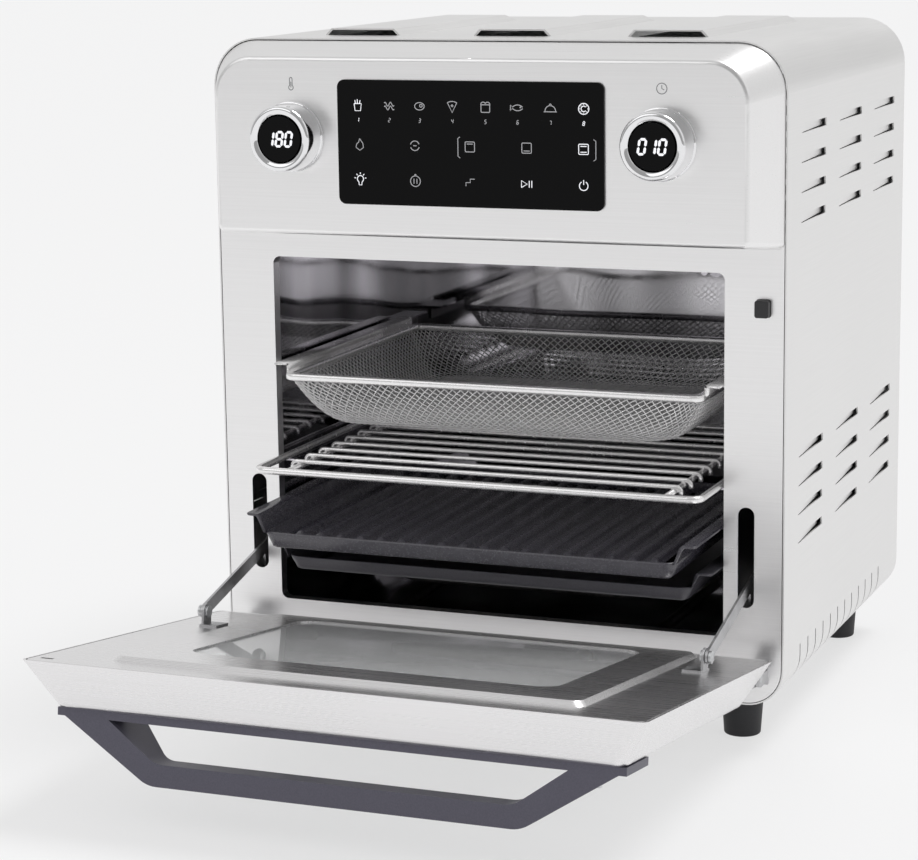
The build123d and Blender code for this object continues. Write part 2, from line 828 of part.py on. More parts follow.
# Rotisserie drive in the right side space
def make_spit_drive():
    outer_x = liner_x + sheet
    size = spit_motor_size / 2
    motor = block(outer_x, outer_x + spit_motor_depth, spit_y - size, spit_y + size,
                  spit_z - size / 2, spit_z + size)
    motor -= rod_x(spit_y, spit_z, shaft_radius + shaft_gap, outer_x - 1,
                   outer_x + spit_motor_depth + 1)
    face = liner_x - run_gap
    head = rod_x(spit_y, spit_z, spit_head_radius, face - spit_head_length, face)
    head -= block(face - spit_head_length - 1, face - 1.2, spit_y - spit_square / 2,
                  spit_y + spit_square / 2, spit_z - spit_square / 2, spit_z + spit_square / 2)
    head += rod_x(spit_y, spit_z, shaft_radius, face, outer_x + spit_motor_depth - 4)
    add("spit_motor", motor)
    add("spit_socket", head)


make_spit_drive()


# Door switch behind the frame and its plunger
def make_switch():
    wall = switch_body_wall
    half_w = switch_hole_width / 2 + wall
    half_h = switch_hole_height / 2 + wall
    body = block(switch_x - half_w, switch_x + half_w, front_back, front_back + switch_body_depth,
                 switch_z - half_h, switch_z + half_h)
    body -= slab(soft_rectangle(switch_x, switch_z, switch_hole_width, switch_hole_height, 1.5),
                 front_back - 1, front_back + switch_body_depth - wall)
    plunger = slab(soft_rectangle(switch_x, switch_z, switch_hole_width - 2 * run_gap,
                                  switch_hole_height - 2 * run_gap, 1.3),
                   -plunger_out, -plunger_out + plunger_length)
    add("door_switch", body)
    add("switch_plunger", fillet(plunger.faces().sort_by(Axis.Y)[0].edges(), 0.6))


make_switch()


# Door, drawn shut and then swung open about its hinge
def swing(shape):
    """Turn a door piece from the shut place to the open place."""
    return shape.rotate(Axis((0, hinge_y, hinge_z), (1, 0, 0)), door_open_angle)


def door_block(inset, depth):
    """The tapered body of the door, smaller all round by an inset."""
    low = door_low + inset
    high = door_low + door_height - inset
    wide = door_width / 2 - inset
    back = arch(wide, low, high, 4, 4)
    front = arch(wide - door_taper * depth / door_thickness,
                 low + door_taper * depth / door_thickness,
                 high - door_taper * depth / door_thickness, 7, 7)
    return loft([upright(door_inner_y) * back, upright(door_inner_y - depth) * front], ruled=True)


door_outer_y = door_inner_y - door_thickness
window_mid = door_low + (window_low + window_high) / 2
window_tall = window_high - window_low
panel_y = door_inner_y - door_sheet
platform_y = door_inner_y + platform_height


def make_outer_panel():
    panel = door_block(0, door_thickness)
    panel = fillet(panel.faces().sort_by(Axis.Y)[0].edges(), 5)
    panel -= door_block(door_sheet, door_thickness - door_sheet)
    window = soft_rectangle(0, window_mid, 2 * window_half_width, window_tall, window_radius)
    panel -= slab(window, door_outer_y - 1, door_outer_y + 3)
    for x in handle_screw_places():
        panel -= rod_y(x, handle_screw_z, screw_radius + 0.2, door_outer_y - 1, door_outer_y + 3)
    return panel


def make_inner_panel():
    inset = door_sheet + 0.8
    outline = arch(door_width / 2 - inset, door_low + inset, door_low + door_height - inset, 4, 4)
    panel = slab(outline, panel_y, door_inner_y)
    low = door_low + platform_low
    high = door_low + platform_high
    grow = platform_height

    def step(shrink, y):
        flat = arch(platform_half_width - shrink, low + shrink, high - shrink, 5, 5)
        return upright(y) * flat

    panel += loft([step(grow, platform_y), step(0, door_inner_y)], ruled=True)
    panel -= loft([step(grow + door_sheet / 2, platform_y - door_sheet),
                   step(door_sheet / 2, door_inner_y - door_sheet)], ruled=True)
    window = soft_rectangle(0, window_mid, 2 * window_half_width, window_tall, window_radius)
    notch = soft_rectangle(notch_x, door_low + notch_along, notch_width, notch_height, 0.8)
    panel -= both_sides(slab(notch, panel_y - 1, platform_y + 1))
    return panel - slab(window, panel_y - 1, platform_y + 1)


def make_pane(y0, y1):
    return slab(soft_rectangle(0, window_mid, 2 * (window_half_width + pane_overlap),
                               window_tall + 2 * pane_overlap, window_radius), y0, y1)


def make_retainer(y0, y1):
    ring = make_pane(y0, y1)
    wide = 2 * (window_half_width + pane_overlap - retainer_wall)
    tall = window_tall + 2 * (pane_overlap - retainer_wall)
    return ring - slab(soft_rectangle(0, window_mid, wide, tall, window_radius), y0 - 1, y1 + 1)


inner_pane_front = platform_y - door_sheet
inner_pane_back = inner_pane_front - pane_thickness
outer_pane_front = door_outer_y + door_sheet + pane_thickness
add("door_inner_glass", swing(make_pane(inner_pane_back, inner_pane_front)))
add("door_outer_glass", swing(make_pane(door_outer_y + door_sheet, outer_pane_front)))
add("glass_retainer", swing(make_retainer(outer_pane_front, inner_pane_back)))

# Handle: a bar on two sloping legs, with a strip along the door
handle_high = door_low + handle_top
handle_screw_z = handle_high - 9.0
handle_back = door_outer_y
strip_y = handle_back - handle_base_thickness
bar_outer = handle_back - handle_reach
bar_inner = bar_outer + handle_bar_thickness


def handle_screw_places():
    middle = (handle_leg_half + handle_opening_half) / 2
    return (-middle, middle)


def make_handle():
    outline = [(-handle_base_half, handle_back), (-handle_base_half, strip_y),
               (-handle_leg_half, strip_y), (-handle_bar_half, bar_outer),
               (handle_bar_half, bar_outer), (handle_leg_half, strip_y),
               (handle_base_half, strip_y), (handle_base_half, handle_back)]
    gap = [(-handle_opening_half, strip_y), (-handle_opening_bar_half, bar_inner),
           (handle_opening_bar_half, bar_inner), (handle_opening_half, strip_y)]
    low = handle_high - handle_base_depth
    solid = Pos(0, 0, low) * extrude(make_face(Polyline(*outline, close=True)),
                                     amount=handle_base_depth)
    hole = make_face(Polyline(*gap, close=True))
    hole = fillet(hole.vertices().sort_by(Axis.Y)[0:2], 14)
    solid -= Pos(0, 0, low - 1) * extrude(hole, amount=handle_base_depth + 2)
    corners = solid.edges().filter_by(Axis.Z).group_by(Axis.Y)[0]
    solid = fillet(corners, 16)
    wedge = [(strip_y, low - 1), (bar_outer - 1, low - 1),
             (bar_outer - 1, handle_high - handle_bar_depth),
             (bar_inner, handle_high - handle_bar_depth)]
    solid -= side_plate(wedge, -half, half)
    strip_low = handle_high - 14.0
    solid -= block(-handle_opening_half, handle_opening_half, strip_y - 0.5, handle_back + 1,
                   low - 1, strip_low)
    for x in handle_screw_places():
        solid -= rod_y(x, handle_screw_z, screw_radius + 0.2, handle_back - 14, handle_back + 1)
    return solid


add("door_outer_panel", swing(make_outer_panel()))
add("door_inner_panel", swing(make_inner_panel()))
add("handle", swing(make_handle()))
add("handle_screws", *[swing(screw_y(x, handle_screw_z, door_outer_y + door_sheet, 13, 1))
                       for x in handle_screw_places()])


# Hinge: brackets and pins on the frame, knuckles on the door
def make_bracket():
    inner_x = bracket_outer_x - bracket_thickness
    arm = side_plate([(hinge_y, hinge_z - knuckle_radius), (0, hinge_z - knuckle_radius),
                      (0, hinge_z + 1), (hinge_y, hinge_z + 1)], inner_x, bracket_outer_x)
    arm += rod_x(hinge_y, hinge_z, knuckle_radius, inner_x, bracket_outer_x)
    arm += block(inner_x - 7, bracket_outer_x, -1.6, 0, hinge_z - 7, hinge_z + 2)
    return arm - rod_x(hinge_y, hinge_z, pin_radius, inner_x - 1, bracket_outer_x + 1)


knuckle_outer = bracket_outer_x - bracket_thickness - run_gap
knuckle_inner = knuckle_outer - knuckle_width


def make_knuckle():
    lug = side_plate([(hinge_y - knuckle_radius, hinge_z), (hinge_y + knuckle_radius, hinge_z),
                      (hinge_y + knuckle_radius, door_low + 8),
                      (hinge_y - knuckle_radius, door_low + 14)], knuckle_inner, knuckle_outer)
    lug -= door_block(0, door_thickness)
    lug += rod_x(hinge_y, hinge_z, knuckle_radius, knuckle_inner, knuckle_outer)
    return lug - rod_x(hinge_y, hinge_z, pin_radius + shaft_gap, knuckle_inner - 1,
                       knuckle_outer + 1)


add("hinge_brackets", *both_sides(make_bracket()))
add("hinge_pins", *both_sides(rod_x(hinge_y, hinge_z, pin_radius, knuckle_inner - 0.5,
                                    bracket_outer_x)))
add("door_knuckles", *[swing(s) for s in both_sides(make_knuckle())])

# Link ears on the door, rivets, and the two links that pass through the frame slots
ear_y = door_inner_y + ear_rise
ear_z = door_low + ear_along
link_inner = ear_inner_x + ear_thickness + run_gap
link_outer = link_inner + link_thickness


def make_ear():
    ear = side_plate([(door_inner_y, ear_z - ear_half), (ear_y, ear_z - ear_half),
                      (ear_y, ear_z + ear_half), (door_inner_y, ear_z + ear_half)],
                     ear_inner_x, ear_inner_x + ear_thickness)
    ear += rod_x(ear_y, ear_z, ear_half, ear_inner_x, ear_inner_x + ear_thickness)
    ear += block(ear_inner_x - 9, ear_inner_x + ear_thickness, door_inner_y,
                 door_inner_y + ear_thickness, ear_z - 7, ear_z + 7)
    return ear - rod_x(ear_y, ear_z, rivet_radius, ear_inner_x - 1, ear_inner_x + 3)


def make_rivet():
    rivet = rod_x(ear_y, ear_z, rivet_radius, ear_inner_x, link_outer + run_gap)
    rivet += rod_x(ear_y, ear_z, rivet_head, ear_inner_x - 1.2, ear_inner_x)
    return rivet + rod_x(ear_y, ear_z, rivet_head, link_outer + run_gap, link_outer + run_gap + 1.2)


# where the door's rivet lies with the door open
open_turn = radians(door_open_angle)
rest_ear_y = hinge_y + (ear_y - hinge_y) * cos(open_turn) - (ear_z - hinge_z) * sin(open_turn)
rest_ear_z = hinge_z + (ear_y - hinge_y) * sin(open_turn) + (ear_z - hinge_z) * cos(open_turn)


def make_link():
    """A flat bar from the rivet back through the slot, with a stop hook behind the frame."""
    w = link_width / 2
    slope = radians(link_angle_open)
    hook_at = (front_back + face_gap - rest_ear_y + w * sin(slope)) / cos(slope) + 1.5
    points = [(0, -w), (hook_at, -w), (hook_at, -w - link_hook), (hook_at + 5, -w - link_hook),
              (hook_at + 9, -w), (link_length - 3, -w), (link_length, 0), (link_length - 3, w),
              (0, w)]
    bar = side_plate(points, link_inner, link_outer)
    bar += rod_x(0, 0, w, link_inner, link_outer)
    bar -= rod_x(0, 0, rivet_radius + shaft_gap, link_inner - 1, link_outer + 1)
    bar = bar.rotate(Axis.X, link_angle_open)
    return Pos(0, rest_ear_y, rest_ear_z) * bar


add("link_ears", *[swing(s) for s in both_sides(make_ear())])
add("link_rivets", *[swing(s) for s in both_sides(make_rivet())])
add("link_right", make_link())
add("link_left", mirror(make_link(), about=Plane.YZ))


# Fry basket: a folded rim with side flanges, and the mesh body
def lying(half_width, y0, y1, z, radius):
    """A rounded rectangle lying flat at a height."""
    return Pos(0, (y0 + y1) / 2, z) * RectangleRounded(2 * half_width, y1 - y0, radius)


basket_front = -basket_out
basket_back = basket_front + basket_length
basket_low = basket_rim_z - basket_depth


def make_basket_rim():
    low = basket_rim_z - basket_rim_height
    rim = extrude(lying(basket_rim_half, basket_front, basket_back, low, basket_rim_corner),
                  amount=basket_rim_height)
    rim -= extrude(lying(basket_rim_half - basket_rim_width, basket_front + basket_rim_width,
                         basket_back - basket_rim_width, low - 1,
                         basket_rim_corner - basket_rim_width), amount=basket_rim_height + 2)
    y0 = basket_front + basket_rim_corner
    y1 = basket_back - basket_rim_corner
    top = basket_flange_z + flange_thickness
    flange = block(basket_rim_half - 1, tray_flange_edge, y0, y1, basket_flange_z, top)
    flange += block(basket_rim_half - flange_thickness, basket_rim_half + 0.4, y0, y1,
                    basket_rim_z - 2, top)
    return rim + both_sides(flange)


def basket_hull(inset, low):
    top = basket_rim_z - basket_rim_height
    rim_half = basket_rim_half - 1 - inset
    top_sketch = lying(rim_half, basket_front + 1 + inset, basket_back - 1 - inset, top,
                       basket_top_corner - inset)
    floor_sketch = lying(basket_floor_half - inset, basket_front + basket_inset + inset,
                         basket_back - basket_inset - inset, low, basket_corner - inset)
    return loft([floor_sketch, top_sketch], ruled=True)


add("basket_rim", make_basket_rim())
add("basket_mesh", basket_hull(0, basket_low) - basket_hull(basket_wall, basket_low + basket_wall))


# Wire rack: outer rod, two runners, cross wires
def make_rack():
    front = -rack_out + rack_rod
    back = front + tray_length - 2 * rack_rod
    ring = Pos(0, (front + back) / 2, rack_z) * RectangleRounded(2 * rack_half, back - front,
                                                                 rack_corner)
    path = ring.wires()[0]
    start = Plane(origin=path @ 0, z_dir=path % 0)
    rack = sweep(start * Circle(rack_rod), path=path)
    for x in (-rack_runner_x, rack_runner_x):
        rack += rod_y(x, rack_z, rack_runner_rod, front, back)
    wire_z = rack_z + rack_runner_rod + rack_wire_rod - 0.4
    for i in range(rack_wire_count):
        y = -rack_wire_first + i * rack_wire_pitch
        rack += rod_x(y, wire_z, rack_wire_rod, -rack_wire_half, rack_wire_half)
    return rack


add("wire_rack", make_rack())


# Grill pan and drip tray: shallow boxes with flanges along both sides
def make_tray(half_width, front, low, lip_z, flange_z, wall, floor):
    """A rounded box with a step up to a hanging flange along each side."""
    back = front + tray_length
    tray = extrude(lying(half_width, front, back, low, pan_corner), amount=lip_z - low)
    tray -= extrude(lying(half_width - wall, front + wall, back - wall, low + floor,
                          pan_corner - wall), amount=lip_z - low)
    top = flange_z + flange_thickness
    points = [(half_width - wall, lip_z), (half_width, lip_z),
              (half_width + tray_riser, flange_z), (tray_flange_edge, flange_z),
              (tray_flange_edge, top), (half_width + tray_riser - wall, top)]
    side = slab(make_face(Polyline(*points, close=True)), front + tray_setback,
                back - tray_setback)
    return tray + both_sides(side)


def make_pan():
    front = -pan_out
    pan = make_tray(pan_half, front, pan_low, pan_lip_z, pan_flange_z, pan_wall, pan_floor)
    span = 2 * (pan_half - pan_corner)
    for i in range(ridge_count):
        x = -span / 2 + i * span / (ridge_count - 1)
        pan += rod_y(x, pan_low + pan_floor, ridge_radius, front + pan_wall + 3,
                     front + tray_length - pan_wall - 3)
    return pan


add("grill_pan", make_pan())
add("drip_tray", make_tray(drip_half, -drip_out, drip_low, drip_lip_z, drip_flange_z,
                           drip_sheet, drip_sheet))


# Move the oven so that the origin is the bottom centre of its box, and write it
def origin_shift():
    """How far back the oven moves, found from the front and back ends of its solids."""
    boxes = [solid.bounding_box() for solids in parts.values() for solid in solids]
    return -(min(b.min.Y for b in boxes) + max(b.max.Y for b in boxes)) / 2


shift = origin_shift()
os.makedirs("parts", exist_ok=True)
for name, solids in parts.items():
    moved = [piece for solid in solids for piece in (Pos(0, shift, 0) * solid).solids()]
    whole = moved[0] if len(moved) == 1 else Compound(moved)
    export_step(whole, os.path.join("parts", name + ".step"))
print("moved back by", round(shift, 4))
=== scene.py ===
# %% [markdown]
# # A countertop air fryer oven, dressed in steel, glass and wire
#
# The construction drawing gives every part at its real size. This lesson loads that drawing as
# a fixed frame, gives each part its finish, and swaps the plain stand-ins for wire, mesh and
# pressed sheet. Lengths are written in millimetres and turned into metres by one helper.

# %% Load the frame
import math

import bpy
import numpy as np
from mathutils import Matrix, Vector


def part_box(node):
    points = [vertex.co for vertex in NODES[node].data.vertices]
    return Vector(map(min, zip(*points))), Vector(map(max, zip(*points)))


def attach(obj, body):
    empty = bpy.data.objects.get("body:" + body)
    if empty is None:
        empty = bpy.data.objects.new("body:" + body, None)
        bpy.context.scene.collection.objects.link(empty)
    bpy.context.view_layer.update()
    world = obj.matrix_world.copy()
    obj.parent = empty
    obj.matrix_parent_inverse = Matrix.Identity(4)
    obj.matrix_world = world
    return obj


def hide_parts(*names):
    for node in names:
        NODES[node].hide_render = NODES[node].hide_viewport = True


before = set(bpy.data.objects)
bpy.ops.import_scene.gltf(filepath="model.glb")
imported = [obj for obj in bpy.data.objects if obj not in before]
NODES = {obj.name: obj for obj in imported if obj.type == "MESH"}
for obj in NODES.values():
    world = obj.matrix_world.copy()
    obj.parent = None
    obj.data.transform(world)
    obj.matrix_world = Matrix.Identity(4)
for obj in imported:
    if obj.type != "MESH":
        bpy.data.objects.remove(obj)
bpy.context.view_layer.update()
MM = 0.001
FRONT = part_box("front_frame")[0][1] / MM
print("nodes", len(NODES), "front face at", round(FRONT, 2), "mm")


# %% [markdown]
# ## Places
#
# The oven was drawn with Y = 0 on the face of its front frame, and the frame file keeps it with
# the origin under the middle of its box. `placed` turns drawing millimetres into frame metres,
# so every number below can be read against the oven's own front.

# %% Places and boxes in the drawing's millimetres
def placed(points):
    """Points in drawing millimetres, moved by the front's offset and scaled to metres."""
    points = np.asarray(points, dtype=float)
    return (points + np.array([0.0, FRONT, 0.0])) * MM


def box_mm(node):
    """A node's lowest and highest corners, back in drawing millimetres."""
    low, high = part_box(node)
    shift = np.array([0.0, FRONT, 0.0])
    return np.array(low) / MM - shift, np.array(high) / MM - shift


print("front frame, mm:", [corner.round(1).tolist() for corner in box_mm("front_frame")])


# %% [markdown]
# ## The camera
#
# A long lens stands a little right of the oven and above it. The place, the turn and the lens
# were fitted to straight edges of the housing, so the render can be laid over the photograph.

# %% Camera
CAMERA_PLACE = (515.03, -1336.29, 440.63)
CAMERA_YAW, CAMERA_PITCH, CAMERA_ROLL = np.radians((21.817, 10.973, -0.804))
SENSOR = 36.0
FOCAL_PIXELS = 2732.38
PHOTO_WIDTH = 918
LENS = FOCAL_PIXELS / PHOTO_WIDTH * SENSOR


def aim(yaw, pitch, roll):
    """Rotation whose columns are the camera's right, up and backward directions."""
    ahead = np.array([-math.sin(yaw) * math.cos(pitch), math.cos(yaw) * math.cos(pitch),
                      -math.sin(pitch)])
    right = np.array([math.cos(yaw), math.sin(yaw), 0.0])
    up = np.cross(right, ahead)
    right_rolled = right * math.cos(roll) + up * math.sin(roll)
    up_rolled = up * math.cos(roll) - right * math.sin(roll)
    return Matrix(np.column_stack([right_rolled, up_rolled, -ahead]).tolist())


camera_data = bpy.data.cameras.new("camera")
camera_data.lens = LENS
camera_data.sensor_width = SENSOR
camera = bpy.data.objects.new("camera", camera_data)
bpy.context.collection.objects.link(camera)
turn = aim(CAMERA_YAW, CAMERA_PITCH, CAMERA_ROLL)
camera.matrix_world = Matrix.Translation(placed(CAMERA_PLACE)) @ turn.to_4x4()
bpy.context.scene.camera = camera
print("lens", round(LENS, 2), "mm")


# %% [markdown]
# ## Finishes are small node graphs
#
# A finish is a Principled shader with a few textures in front of it. `new_finish` makes the
# shader, `node` adds one node with its values, and `wire` joins two sockets.

# %% Helpers for materials
def new_finish(name, color, metallic=0.0, roughness=0.5, specular=0.5):
    """A material with a Principled shader, and the tree and shader to add textures to."""
    mat = bpy.data.materials.new(name)
    mat.use_nodes = True
    tree = mat.node_tree
    shader = tree.nodes["Principled BSDF"]
    shader.inputs["Base Color"].default_value = (*color, 1.0)
    shader.inputs["Metallic"].default_value = metallic
    shader.inputs["Roughness"].default_value = roughness
    shader.inputs["Specular IOR Level"].default_value = specular
    mat.diffuse_color = (*color, 1.0)
    return mat, tree, shader


def node(tree, kind, **values):
    """One node of a kind, with values for its properties or, failing those, its sockets."""
    made = tree.nodes.new("ShaderNode" + kind)
    for key, value in values.items():
        if hasattr(made, key):
            setattr(made, key, value)
        else:
            made.inputs[key.replace("_", " ")].default_value = value
    return made


def wire(tree, start, end):
    """Join an output socket to an input socket."""
    tree.links.new(start, end)


def stretched_noise(tree, stretch, detail=2.0):
    """Noise on Object coordinates, finer along an axis where its stretch number is larger."""
    place = node(tree, "TexCoord")
    mapping = node(tree, "Mapping")
    mapping.inputs["Scale"].default_value = stretch
    noise = node(tree, "TexNoise", Scale=1.0, Detail=detail)
    wire(tree, place.outputs["Object"], mapping.inputs["Vector"])
    wire(tree, mapping.outputs["Vector"], noise.inputs["Vector"])
    return noise.outputs["Fac"]


print("materials that came with the drawing:", len(bpy.data.materials))


# %% [markdown]
# ## From noise to colour, gloss and relief
#
# Real metal and plastic are never one flat tone. A noise value could be painted on by hand, but
# three small helpers do it everywhere: `ranged` spreads the value over a range of gloss,
# `tinted` runs it between two near colours, and `bumped` lets it tilt the light.

# %% Ranges, tints and bumps
def ranged(tree, value, low, high, start=0.3, end=0.7):
    """Spread a 0 to 1 value over a new range."""
    change = node(tree, "MapRange")
    change.inputs["From Min"].default_value = start
    change.inputs["From Max"].default_value = end
    change.inputs["To Min"].default_value = low
    change.inputs["To Max"].default_value = high
    wire(tree, value, change.inputs["Value"])
    return change.outputs["Result"]


COLOR_FROM, COLOR_TO, COLOR_OUT = 6, 7, 2


def tinted(tree, value, dark, light):
    """A colour that runs from dark to light as a value runs from 0 to 1."""
    mix = node(tree, "Mix", data_type="RGBA")
    mix.inputs[COLOR_FROM].default_value = (*dark, 1.0)
    mix.inputs[COLOR_TO].default_value = (*light, 1.0)
    wire(tree, value, mix.inputs["Factor"])
    return mix.outputs[COLOR_OUT]


def around(color, down, up):
    """A darker and a lighter colour, each a share away, with no channel over 1."""
    return tuple(c * (1 - down) for c in color), tuple(min(1.0, c * (1 + up)) for c in color)


def bumped(tree, shader, height, strength, distance):
    """Let a height value tilt the shader's normal."""
    bump = node(tree, "Bump")
    bump.inputs["Strength"].default_value = strength
    bump.inputs["Distance"].default_value = distance
    wire(tree, height, bump.inputs["Height"])
    wire(tree, bump.outputs["Normal"], shader.inputs["Normal"])


print("a grey and its neighbours:", around((0.5, 0.5, 0.5), 0.1, 0.1))


# %% [markdown]
# ## Brushed steel
#
# The housing and the door are stainless sheet with a fine brush. A noise that is stretched
# along the brush gives the grain: it shifts the colour and the roughness by a few hundredths,
# and tilts the surface by microns. A second, large and soft noise is the faint cloudiness that
# handling leaves. The grain runs across the front, and back along the sides and top.

# %% Brushed steel
GRAIN_ALONG = 14.0
GRAIN_ACROSS = 1500.0
CLOUD_SCALE = 11.0
GRAIN_SHARE = 0.65
GRAIN_TILT = 0.06
GRAIN_DEPTH = 0.00003


def brushed_steel(name, along, color, roughness=0.30):
    """Steel with a grain along one axis of the frame."""
    mat, tree, shader = new_finish(name, color, metallic=1.0, roughness=roughness)
    stretch = [GRAIN_ACROSS] * 3
    stretch[along] = GRAIN_ALONG
    grain = stretched_noise(tree, stretch)
    cloud = stretched_noise(tree, (CLOUD_SCALE,) * 3, detail=1.0)
    both = node(tree, "Math", operation="MULTIPLY_ADD")
    both.inputs[1].default_value = GRAIN_SHARE
    wire(tree, grain, both.inputs[0])
    shade = node(tree, "Math", operation="MULTIPLY")
    shade.inputs[1].default_value = 1 - GRAIN_SHARE
    wire(tree, cloud, shade.inputs[0])
    wire(tree, shade.outputs[0], both.inputs[2])
    dark, light = around(color, 0.035, 0.025)
    wire(tree, tinted(tree, ranged(tree, both.outputs[0], 0, 1), dark, light),
         shader.inputs["Base Color"])
    wire(tree, ranged(tree, both.outputs[0], roughness - 0.03, roughness + 0.04),
         shader.inputs["Roughness"])
    bumped(tree, shader, grain, GRAIN_TILT, GRAIN_DEPTH)
    return mat


front_steel = brushed_steel("front_steel", 0, (0.91, 0.905, 0.905))
side_steel = brushed_steel("side_steel", 1, (0.82, 0.815, 0.81), roughness=0.34)
door_steel = brushed_steel("door_steel", 0, (0.86, 0.85, 0.855), roughness=0.27)
cover_steel = brushed_steel("cover_steel", 0, (0.60, 0.60, 0.61), roughness=0.42)
print("brushed:", [mat.name for mat in (front_steel, side_steel, door_steel, cover_steel)])


# %% [markdown]
# ## Polished, plated and plain metals
#
# The cavity is lined with bright sheet that is never quite flat, so its mirror images wave; a
# large, weak bump does that. Upright bands of darker colour from a stretched noise are painted on
# the sheet as dark reflections. The wire parts and knob rings are plated: smooth, with a trace of
# unevenness.
# Small fittings are zinc, with the mottled look of its crystals.

# %% Metals
REFLECTION_BAND_STRETCH = (17.0, 17.0, 1.5)
REFLECTION_BAND_START, REFLECTION_BAND_END = 0.42, 0.62
HAZE_SCALE = 60.0


def polished_sheet(name, color, roughness, wave_size, wave_height, reflection_band_share=1.0):
    """Mirror-like sheet with slow waves, and upright bands of darker colour painted in as dark
    reflections.
    """
    mat, tree, shader = new_finish(name, color, metallic=1.0, roughness=roughness)
    # Painted reflection: a stretched noise makes upright bands that darken the base colour by the
    # band share.
    band = stretched_noise(tree, REFLECTION_BAND_STRETCH, detail=1.0)
    dark = tuple(c * reflection_band_share for c in color)
    wire(tree, tinted(tree, ranged(tree, band, 0, 1, REFLECTION_BAND_START, REFLECTION_BAND_END), dark, color),
         shader.inputs["Base Color"])
    wave = stretched_noise(tree, (wave_size,) * 3, detail=1.0)
    bumped(tree, shader, wave, 1.0, wave_height)
    haze = stretched_noise(tree, (HAZE_SCALE,) * 3, detail=3.0)
    wire(tree, ranged(tree, haze, roughness, roughness + 0.05), shader.inputs["Roughness"])
    return mat


def plated_metal(name, color, roughness, spread=0.06, mottle=300.0, rough_change=0.08,
                 metallic=1.0):
    """Plated metal with slightly uneven tone and gloss."""
    mat, tree, shader = new_finish(name, color, metallic=metallic, roughness=roughness)
    speck = stretched_noise(tree, (mottle,) * 3, detail=3.0)
    dark, light = around(color, spread, spread)
    wire(tree, tinted(tree, ranged(tree, speck, 0, 1), dark, light), shader.inputs["Base Color"])
    wire(tree, ranged(tree, speck, roughness, roughness + rough_change),
         shader.inputs["Roughness"])
    return mat


# The liner's upright bands darken its colour to about a third: painted dark reflections.
liner_steel = polished_sheet("liner_steel", (0.74, 0.725, 0.755), roughness=0.035,
                             wave_size=12.0, wave_height=0.0011, reflection_band_share=0.34)
rail_steel = polished_sheet("rail_steel", (0.60, 0.58, 0.62), roughness=0.12, wave_size=30.0,
                            wave_height=0.0004)
chrome = plated_metal("chrome", (0.86, 0.86, 0.87), 0.05, spread=0.02, mottle=90.0,
                      rough_change=0.03)
bright_wire = plated_metal("bright_wire", (0.94, 0.93, 0.93), 0.20, spread=0.04,
                           metallic=0.75)
mesh_wire = plated_metal("mesh_wire", (0.95, 0.94, 0.94), 0.36, spread=0.04, metallic=0.45)
zinc = plated_metal("zinc", (0.66, 0.67, 0.68), 0.32, spread=0.14, mottle=500.0)
sheet_metal = plated_metal("sheet_metal", (0.55, 0.55, 0.56), 0.36, spread=0.10, mottle=160.0)
aluminium = plated_metal("aluminium", (0.72, 0.73, 0.74), 0.34, spread=0.05, mottle=220.0)
heater_sheath = plated_metal("heater_sheath", (0.21, 0.20, 0.195), 0.42, spread=0.22,
                             mottle=260.0)
print("lining and small parts:", [mat.name for mat in (liner_steel, rail_steel, chrome, zinc)])


# %% [markdown]
# ## Coatings, plastics, rubber and boards
#
# The pan and tray have a dark coating with a fine orange-peel texture. The handle is a blue-grey
# moulding, and the feet are moulded rubber. Inside are silicone, ceramic and circuit board. All
# of them are the same shader with another colour and gloss, and each gets its own grain from
# noise bumps.

# %% Coatings and plastics
def textured_finish(name, color, roughness, grain, height, specular=0.5, spread=0.12):
    """A coating or a moulding with an even fine grain."""
    mat, tree, shader = new_finish(name, color, roughness=roughness, specular=specular)
    speck = stretched_noise(tree, (grain,) * 3)
    dark, light = around(color, spread, spread)
    wire(tree, tinted(tree, ranged(tree, speck, 0, 1), dark, light), shader.inputs["Base Color"])
    wire(tree, ranged(tree, speck, roughness - 0.04, roughness + 0.06),
         shader.inputs["Roughness"])
    bumped(tree, shader, speck, 0.5, height)
    return mat


pan_coating = textured_finish("pan_coating", (0.050, 0.047, 0.060), 0.24, 900.0, 0.00004,
                              specular=0.9)
tray_coating = textured_finish("tray_coating", (0.075, 0.072, 0.085), 0.34, 900.0, 0.00005,
                               specular=0.6)
handle_plastic = textured_finish("handle_plastic", (0.092, 0.088, 0.118), 0.40, 1400.0, 0.00003)
black_plastic = textured_finish("black_plastic", (0.020, 0.020, 0.022), 0.42, 1200.0, 0.00003)
foot_rubber = textured_finish("foot_rubber", (0.028, 0.028, 0.030), 0.55, 800.0, 0.00005,
                              specular=0.35)
silicone = textured_finish("silicone", (0.62, 0.62, 0.64), 0.5, 700.0, 0.00004, spread=0.05)
ceramic = textured_finish("ceramic", (0.82, 0.79, 0.72), 0.22, 500.0, 0.00002, spread=0.04)
board_green = textured_finish("board_green", (0.02, 0.13, 0.055), 0.35, 260.0, 0.00008,
                              spread=0.3)
print("dark parts:", [mat.name for mat in (pan_coating, tray_coating, handle_plastic)])


# %% [markdown]
# ## Glass and lit marks
#
# The door panes and lamp lens are glass with a light haze, which is the share that isn't clear:
# fully clear panes would show only the dark gap between them. The touch panel and the number
# displays are opaque black behind gloss, so their shader is nearly black with a weak reflection,
# and the marks on them glow a little, as lit marks do.

# %% Glass
POLISH_SCALE = 25.0
GLASS_IOR = 1.45
MARK_GRAIN = 800.0


def clear_glass(name, tint, clear, roughness=0.0):
    """Glass with a faint tint and uneven polish; clear is the share that isn't hazy."""
    mat, tree, shader = new_finish(name, tint, roughness=roughness)
    shader.inputs["Transmission Weight"].default_value = clear
    shader.inputs["IOR"].default_value = GLASS_IOR
    haze = stretched_noise(tree, (POLISH_SCALE,) * 3)
    wire(tree, ranged(tree, haze, roughness, roughness + 0.05), shader.inputs["Roughness"])
    return mat


